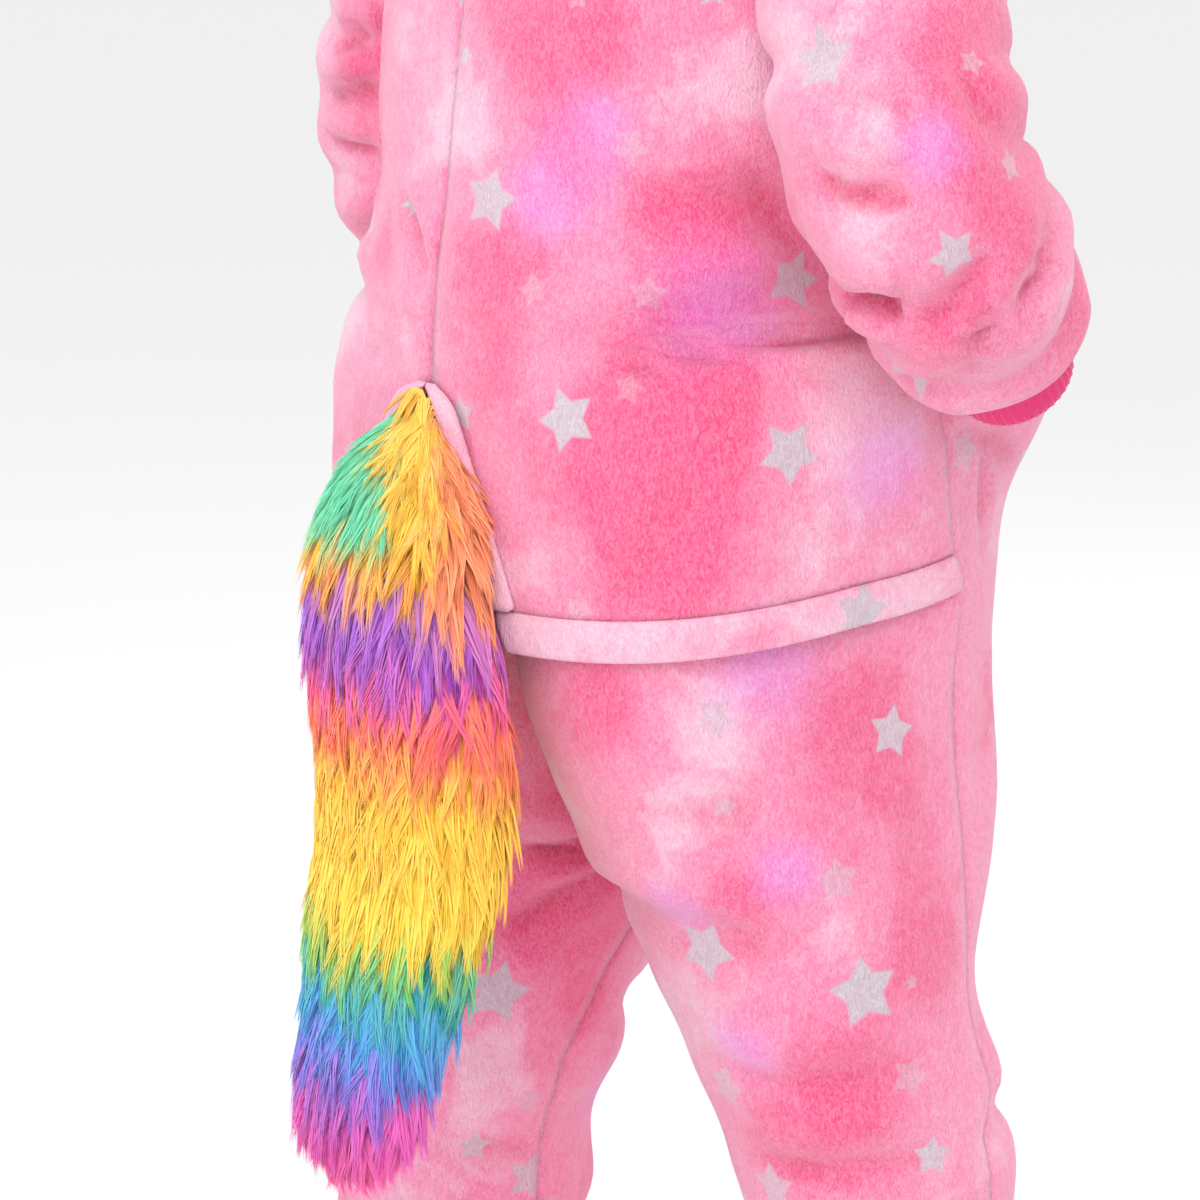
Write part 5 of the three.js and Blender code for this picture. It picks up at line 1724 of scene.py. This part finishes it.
def tie_dye_group():
    """Soft crumpled patches of deep, middle and pale pink, with near-white and lilac in places."""
    inputs = [
        ("Vector", "Vector", None),
        ("Deep", "Color", (*srgb("#F2598F"), 1)),
        ("Middle", "Color", (*srgb("#F98DB4"), 1)),
        ("Pale", "Color", (*srgb("#F8C6DA"), 1)),
        ("Lilac", "Color", (*srgb("#EE94EE"), 1)),
        ("Tone", "Float", 0.0),
        ("Lilac Share", "Float", 0.0),
    ]
    group, g, given, result = node_group("Tie Dye", inputs, [("Color", "Color")])
    broad = g.noise(given["Vector"], 16.0, 2.0, 0.5, 0.5)
    small = g.noise(given["Vector"], 48.0, 2.0, 0.5, 0.8)
    uneven = g.plus(g.plus(g.sway(broad, 1.1), -0.04), g.sway(small, 0.7))
    value = g.plus(given["Tone"], uneven)
    base = g.blend(g.span(value, -0.8, -0.05), given["Deep"], given["Middle"])
    base = g.blend(g.span(value, 0.0, 0.6), base, given["Pale"])
    base = g.blend(g.span(value, 0.55, 1.1, 0.0, 0.75), base, srgb("#F0DDE6"))
    share = g.plus(given["Lilac Share"], g.times(uneven, 0.35))
    base = g.blend(g.span(share, 0.05, 1.1, 0.0, 0.6), base, given["Lilac"])
    g.put(result.inputs["Color"], base)
    return group


def star_group():
    """A five-pointed star with soft tips: 1 inside it, 0 outside."""
    inputs = [
        ("Vector", "Vector", None),
        ("Waist", "Float", 0.52),
        ("Softness", "Float", 0.045),
        ("Fray", "Float", 0.0),
    ]
    group, g, given, result = node_group("Star Mask", inputs, [("Mask", "Float")])
    x, y = g.split(given["Vector"])[:2]
    radius = g.length(x, y)
    fifth, tip = 2 * math.pi / 5, 0.94
    turned = g.plus(g.math("ARCTAN2", x, y), math.pi * 2 + fifth / 2)
    folded = g.math("ABSOLUTE", g.minus(g.math("MODULO", turned, fifth), fifth / 2))
    px, py = (g.times(radius, g.math(kind, folded)) for kind in ("COSINE", "SINE"))
    dx = g.minus(g.times(given["Waist"], math.cos(fifth / 2)), tip)
    dy = g.times(given["Waist"], math.sin(fifth / 2))
    side = g.minus(g.times(g.minus(px, tip), dy), g.times(py, dx))
    away = g.plus(g.math("DIVIDE", side, g.length(dx, dy)), given["Fray"])
    soft = given["Softness"]
    g.put(result.inputs["Mask"], g.span(away, g.times(soft, -1.0), soft, 1.0, 0.0))
    return group


def pile_group():
    """Short combed pile: how bright each tuft is, used as the pile's uneven colour and as painted highlight
    on the tufts' tops and painted shade between them, and its height for a bump.
    """
    inputs = [("Vector", "Vector", None), ("Scale", "Float", 1.0)]
    outputs = [("Tone", "Float"), ("Height", "Float")]
    group, g, given, result = node_group("Pile", inputs, outputs)
    scaled = g.scale(given["Vector"], given["Scale"])
    stretch = {0: scaled, 1: (1.0, 1.0, 0.5)}
    combed = g.filled("ShaderNodeVectorMath", stretch, operation="MULTIPLY").outputs[0]
    fine = g.noise(combed, 820.0, 2.0, 0.6, 0.9)
    clump = g.noise(combed, 330.0, 1.0, 0.5, 1.4)
    lie = g.noise(scaled, 50.0, 2.0, 0.5, 0.8)
    height = g.plus(g.plus(g.times(fine, 0.5), g.times(clump, 0.5)), g.times(lie, 0.35))
    # The tone is both the pile's uneven colour and its painted highlight and shade, lighter where the tufts
    # stand higher
    tone = g.plus(g.times(fine, 0.6), g.times(clump, 0.4))
    g.fill(result, {"Tone": tone, "Height": height})
    return group


def new_material(name, colour, roughness):
    material = bpy.data.materials.new(name)
    material.use_nodes = True
    graph = Graph(material.node_tree)
    shader = material.node_tree.nodes["Principled BSDF"]
    graph.fill(shader, {"Base Color": tuple(colour), "Roughness": roughness})
    return material, graph, shader


def fleece_material(settings, groups):
    """Printed plush fleece: tie-dye and stars, with painted shade of deeper pink in the troughs, painted
    highlight and shade on the pile's tufts, and a painted pale sheen at the edges.
    """
    material, g, shader = new_material("Fleece", settings.middle_pink, 0.92)
    spot = g.place()
    print_inputs = {
        "Vector": spot,
        "Deep": settings.deep_pink,
        "Middle": settings.middle_pink,
        "Pale": tuple(settings.pale_pink),
        "Tone": g.attribute("dye"),
        "Lilac Share": g.attribute("lilac"),
    }
    dye = g.group(groups["dye"], print_inputs)
    pile = g.group(groups["pile"], {"Vector": spot})
    own = g.node("ShaderNodeUVMap", uv_map="star").outputs[0]
    star = g.group(groups["star"], {"Vector": own, "Fray": g.sway(pile["Tone"], 0.3)})
    mask = g.times(star[0], g.attribute("tone"))
    # Painted shade: where the relief sinks into the troughs of creases and seams, the colour turns a deeper
    # pink
    colour = g.blend(g.span(g.attribute("relief"), -9.0, -1.0, 0.8, 0.0), dye[0], srgb("#E0306C"))
    colour = g.blend(mask, colour, tuple(settings.star_grey))
    # Painted highlight and shade of the pile: a deeper pink between the tufts and a paler pink on their tops,
    # from the same noise as their bump, over the pile's own uneven colour
    under = g.blend(1.0, colour, (0.965, 0.8, 0.87), "MULTIPLY")
    over = g.blend(0.16, colour, (1.0, 0.88, 0.93))
    tufts_with_painted_light = g.blend(g.span(pile["Tone"], 0.34, 0.66), under, over)
    # Painted sheen: the colour turns a pale pink where the cloth faces away from the camera, at its
    # silhouettes
    rim = g.filled("ShaderNodeLayerWeight", {"Blend": 0.28}).outputs["Facing"]
    values = {
        "Base Color": g.blend(g.times(rim, 0.35), tufts_with_painted_light, srgb("#FBD5E4")),
        "Sheen Weight": settings.sheen,
        "Sheen Roughness": 0.45,
        "Sheen Tint": srgb("#FFE3EE"),
        "Specular IOR Level": 0.15,
    }
    g.fill(shader, values)
    g.bump(shader, pile["Height"], 0.9, 0.0024)
    return material


def rib_material(settings):
    material, g, shader = new_material("Rib knit", settings.cuff_magenta, 0.85)
    fuzz = g.noise(g.place(), 900.0, 2.0, 0.6)
    bright = tuple(settings.cuff_magenta)
    colour = g.blend(g.span(fuzz, 0.35, 0.65), tuple(c * 0.75 for c in bright), bright)
    g.fill(shader, {"Base Color": colour, "Sheen Weight": 0.25})
    g.bump(shader, fuzz, 0.5, 0.0007)
    return material


# The fur's colours from the root to the tip, and the patches beside the root: by lean and by height

FUR_BANDS = {"top": -0.408, "length": 0.476}
RAINBOW = [
    (0.0, "#FFC04A"), (0.05, "#FFD43A"), (0.17, "#FFD02E"), (0.215, "#FFAA40"), (0.25, "#B056DC"),
    (0.305, "#BC4CD0"), (0.335, "#F24CA4"), (0.37, "#FF6A5A"), (0.425, "#FF9440"), (0.49, "#FFCC18"),
    (0.655, "#FFD828"), (0.69, "#74D060"), (0.725, "#12B8B8"), (0.79, "#18A2E8"), (0.84, "#8466E0"),
    (0.885, "#E446C0"), (1.0, "#F4429E"),
]


FUR_LEAN = (0.62, 0.79)
FUR_SIDES = [("#FF9A62", (0.146, 0.136), (-0.545, -0.52)), ("#62DDB0", (0.158, 0.168), (-0.494, -0.476))]


def fur_material(name, by_root):
    """Long glossy fur in bands of colour down the tail, with a patch on each side near the root.

    The locks take the colour at their root. Heights and leans are in metres.
    """
    material, g, shader = new_material(name, srgb("#F6C233"), 0.5)
    if by_root:
        spot = g.attribute("root", "Vector")
        shade = g.attribute("shade")
    else:
        spot = g.place()
        shade = g.noise(spot, 130.0)
    x, y, z = g.split(spot)
    uneven = g.noise(spot, 26.0, 2.0, 0.6, 0.6)
    height = g.plus(g.minus(FUR_BANDS["top"], z), g.sway(uneven, 0.05))
    height = g.plus(height, g.sway(shade, 0.018))
    colour = g.ramp(g.math("DIVIDE", height, FUR_BANDS["length"]), RAINBOW)
    lean = g.plus(g.times(x, FUR_LEAN[0]), g.times(y, FUR_LEAN[1]))
    lean = g.plus(lean, g.sway(uneven, 0.03))
    for code, across, up in FUR_SIDES:
        colour = g.blend(g.times(g.span(lean, *across), g.span(z, *up)), colour, srgb(code))
    colour = g.blend(g.span(shade, 0.0, 1.0, 0.0, 0.1), colour, srgb("#FFF3E0"))
    colour = g.scale(colour, g.span(shade, 0.0, 1.0, 0.88, 1.12))
    g.fill(shader, {"Base Color": colour, "Sheen Weight": 0.3, "Specular IOR Level": 0.35})
    return material


def plain_material(name, colour, roughness):
    return new_material(name, colour, roughness)[0]


# Settings


def colour_setting(name, note, code):
    return bpy.props.FloatVectorProperty(
        name=name, description=note, subtype="COLOR", size=3, min=0, max=1, default=srgb(code)
    )


class ClothSettings(bpy.types.PropertyGroup):
    """Colours and sheen of the cloth."""

    middle_pink: colour_setting("Middle pink", "Main colour of the tie-dye", "#F98DB4")
    deep_pink: colour_setting("Deep pink", "Colour of the dark patches and of the troughs", "#F2598F")
    pale_pink: colour_setting("Pale pink", "Colour of the pale patches", "#F8C6DA")
    star_grey: colour_setting("Star grey", "Colour of the printed stars", "#CFC6CE")
    cuff_magenta: colour_setting("Cuff magenta", "Colour of the ribbed cuffs", "#EF1F78")
    sheen: bpy.props.FloatProperty(
        name="Sheen", description="Soft shine of the pile", default=0.45, min=0, max=1, subtype="FACTOR"
    )


class FurSettings(bpy.types.PropertyGroup):
    """Thickness and lie of the tail's fur."""

    locks: bpy.props.IntProperty(
        name="Locks",
        description="Locks of fur on each third of the tail",
        default=FUR["locks"],
        min=50,
        max=860,
    )
    fan: bpy.props.FloatProperty(
        name="Fan",
        description="How far the locks turn outwards",
        default=0.75,
        min=0,
        max=2,
        subtype="FACTOR",
    )
    seed: bpy.props.IntProperty(name="Seed", description="Seed of the scatter", default=FUR["seed"], min=0)


class StageSettings(bpy.types.PropertyGroup):
    """Floor, light and background."""

    light: bpy.props.FloatProperty(
        name="Light", description="Strength of the soft lamps", default=1.0, min=0, unit="POWER"
    )
    floor_colour: colour_setting("Floor", "Colour of the floor", "#F4F4F4")


# Making and declaring

LEAST_FILL = 0.3


def finish_sheet(piece, panel):
    flat, area = panel.flat_size()
    declare(piece, [panel.name])
    area = max(area, LEAST_FILL * flat[0] * flat[1])


def node_of(piece):
    return piece.name.removesuffix(LOOK)


def declare(piece, nodes):
    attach(piece, "root")
    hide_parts(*nodes)


def aimed(name, data, spot, target):
    """Puts a lamp or a camera in the scene and turns it to its target."""
    made = bpy.data.objects.new(name, data)
    made.location = spot
    made.rotation_euler = (target - spot).to_track_quat("-Z", "Y").to_euler()
    bpy.context.scene.collection.objects.link(made)
    return made


def material_of(name):
    found = bpy.data.materials.get(name)
    if found is None:
        raise RuntimeError(f"the materials come first: {name} is missing")
    return found


class ONEPIECE_OT_materials(bpy.types.Operator):
    """Make the materials and the node groups that they share"""

    bl_idname = "onepiece.materials"
    bl_label = "Materials"

    def execute(self, context):
        settings = context.scene.onepiece_cloth
        groups = {"dye": tie_dye_group(), "star": star_group(), "pile": pile_group()}
        fleece_material(settings, groups)
        rib_material(settings)
        fur_material("Tail fur", True)
        fur_material("Tail core", False)
        plain_material("Button", srgb("#F3B6CC"), 0.25)
        plain_material("Thread", srgb("#E878A6"), 0.8)
        return {"FINISHED"}


class ONEPIECE_OT_cloth(bpy.types.Operator):
    """Make the printed panels of the body, the sleeves and the hood"""

    bl_idname = "onepiece.cloth"
    bl_label = "Cloth panels"

    def execute(self, context):
        fleece = material_of("Fleece")
        makers = (back_panel, seat_panel, front_panel, sleeve_panel, hood_panel)
        panels = [make(side) for side in ("right", "left") for make in makers]
        known = photo_stars(panels)
        dye = dye_patches(panels)
        for i, panel in enumerate(panels):
            stars = hidden_stars(panel, known[panel.name], HIDDEN_STARS["seed"] + i)
            piece = panel.build(fleece, stars, dye)
            finish_sheet(piece, panel)
        for side in ("right", "left"):
            bag = pocket_bag(side)
            finish_sheet(bag.build(fleece, [], dye), bag)
        return {"FINISHED"}


class ONEPIECE_OT_bands(bpy.types.Operator):
    """Make the padded bands along the flap's hem and notch"""

    bl_idname = "onepiece.bands"
    bl_label = "Flap bands"

    def execute(self, context):
        fleece = material_of("Fleece")
        for side in ("right", "left"):
            for make in (hem_band, notch_band):
                piece = make(side, fleece)
                if (make, side) == (hem_band, "right"):
                    print_band(piece, BAND_STAR)
                declare(piece, [node_of(piece)])
        return {"FINISHED"}


class ONEPIECE_OT_front(bpy.types.Operator):
    """Make the button strip and its buttons"""

    bl_idname = "onepiece.front"
    bl_label = "Button front"

    def execute(self, context):
        strip = placket_panel()
        finish_sheet(strip.build(material_of("Fleece"), []), strip)
        for number in range(BUTTON["count"]):
            button = button_object(number, material_of("Button"), material_of("Thread"))
            declare(button, [f"button_{number + 1}"])
        return {"FINISHED"}


class ONEPIECE_OT_cuffs(bpy.types.Operator):
    """Make the ribbed cuffs at the wrists and ankles"""

    bl_idname = "onepiece.cuffs"
    bl_label = "Ribbed cuffs"

    def execute(self, context):
        knit = material_of("Rib knit")
        for side in ("right", "left"):
            wrist = wrist_cuff(side, knit)
            declare(wrist, [node_of(wrist)])
            length = (WRIST_CUFF["to"] - WRIST_CUFF["from"]) * arm_curve(side)["length"]
            ankle = ankle_cuff(side, knit)
            declare(ankle, [node_of(ankle)])
        return {"FINISHED"}


class ONEPIECE_OT_tail(bpy.types.Operator):
    """Make the stuffed tail and its long fur"""

    bl_idname = "onepiece.tail"
    bl_label = "Tail"

    def execute(self, context):
        settings = context.scene.onepiece_fur
        fur, core_look = material_of("Tail fur"), material_of("Tail core")
        core = tail_core(core_look)
        declare(core, ["tail"])
        store = bpy.data.collections.new("Locks")
        locks = [lock_object(i, fur) for i in range(FUR["variants"])]
        for lock in locks:
            context.scene.collection.objects.unlink(lock)
            store.objects.link(lock)
        group = fur_nodes()
        for i, (name, high, low, more) in enumerate(FUR_PARTS):
            area = sum(
                p.area
                for p in core.data.polygons
                if low * MM < p.center.z < high * MM and p.normal.y > BODY_SIDE
            )
            values = {
                "Locks": store,
                "Count Density": settings.locks * more / max(area, 1e-4),
                "Low": low * MM,
                "High": high * MM,
                "Fan": settings.fan,
                "Seed": settings.seed + i,
                "Material": fur,
            }
            piece = apply_nodes(name, core, group, values)
            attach(piece, "root")
        for lock in locks:
            mesh = lock.data
            bpy.data.objects.remove(lock)
            bpy.data.meshes.remove(mesh)
        bpy.data.collections.remove(store)
        return {"FINISHED"}


class ONEPIECE_OT_stage(bpy.types.Operator):
    """Make the floor, the soft lamps and the camera"""

    bl_idname = "onepiece.stage"
    bl_label = "Stage"

    def execute(self, context):
        settings = context.scene.onepiece_stage
        low = LEG_END_Z - ANKLE_CUFF["length"] - FLOOR["below"]
        reach = FLOOR["reach"]
        corners = [(-reach, -reach, low), (reach, -reach, low), (reach, reach, low), (-reach, reach, low)]
        floor = to_object("floor", to_mesh("floor", corners, [np.arange(4)]), None)
        floor.data.materials.append(plain_material("Floor", tuple(settings.floor_colour), 0.9))
        data = bpy.data.cameras.new("Camera")
        data.sensor_width = CAMERA["sensor"]
        data.lens = CAMERA["sensor"] / 2 / CAMERA["half_view"]
        data.clip_end = 200
        place, target = (Vector(CAMERA[key]) * MM for key in ("place", "target"))
        context.scene.camera = aimed("Camera", data, place, target)
        for name, spot, size, power in LAMPS:
            lamp = bpy.data.lights.new(name, "AREA")
            lamp.size = size
            lamp.energy = power * settings.light
            aimed(name, lamp, Vector(spot), Vector(LIT_SPOT))
        world = bpy.data.worlds.new("World")
        world.use_nodes = True
        background = world.node_tree.nodes["Background"]
        background.inputs["Color"].default_value = (1, 1, 1, 1)
        background.inputs["Strength"].default_value = WORLD_LIGHT * settings.light
        context.scene.world = world
        context.scene.view_settings.view_transform = "Standard"
        return {"FINISHED"}


class ONEPIECE_PT_panel(bpy.types.Panel):
    """Sizes, colours and pieces of the one-piece"""

    bl_label = "Fleece one-piece"
    bl_idname = "ONEPIECE_PT_panel"
    bl_space_type = "VIEW_3D"
    bl_region_type = "UI"
    bl_category = "One-piece"

    def draw(self, context):
        layout = self.layout
        scene = context.scene
        for settings in (scene.onepiece_cloth, scene.onepiece_fur, scene.onepiece_stage):
            box = layout.box()
            for key in settings.__annotations__:
                box.prop(settings, key)
        for step in STEPS:
            layout.operator(step.bl_idname)


STEPS = (
    ONEPIECE_OT_materials,
    ONEPIECE_OT_stage,
    ONEPIECE_OT_cloth,
    ONEPIECE_OT_bands,
    ONEPIECE_OT_front,
    ONEPIECE_OT_cuffs,
    ONEPIECE_OT_tail,
)
SETTINGS = {
    "onepiece_cloth": ClothSettings,
    "onepiece_fur": FurSettings,
    "onepiece_stage": StageSettings,
}


def register():
    for kind in (*SETTINGS.values(), *STEPS, ONEPIECE_PT_panel):
        bpy.utils.register_class(kind)
    for name, kind in SETTINGS.items():
        setattr(bpy.types.Scene, name, bpy.props.PointerProperty(type=kind))


def unregister():
    for name in SETTINGS:
        delattr(bpy.types.Scene, name)
    for kind in reversed((*SETTINGS.values(), *STEPS, ONEPIECE_PT_panel)):
        bpy.utils.unregister_class(kind)


def main():
    register()
    for step in STEPS:
        group, name = step.bl_idname.split(".")
        getattr(getattr(bpy.ops, group), name)()


if __name__ == "__main__":
    main()
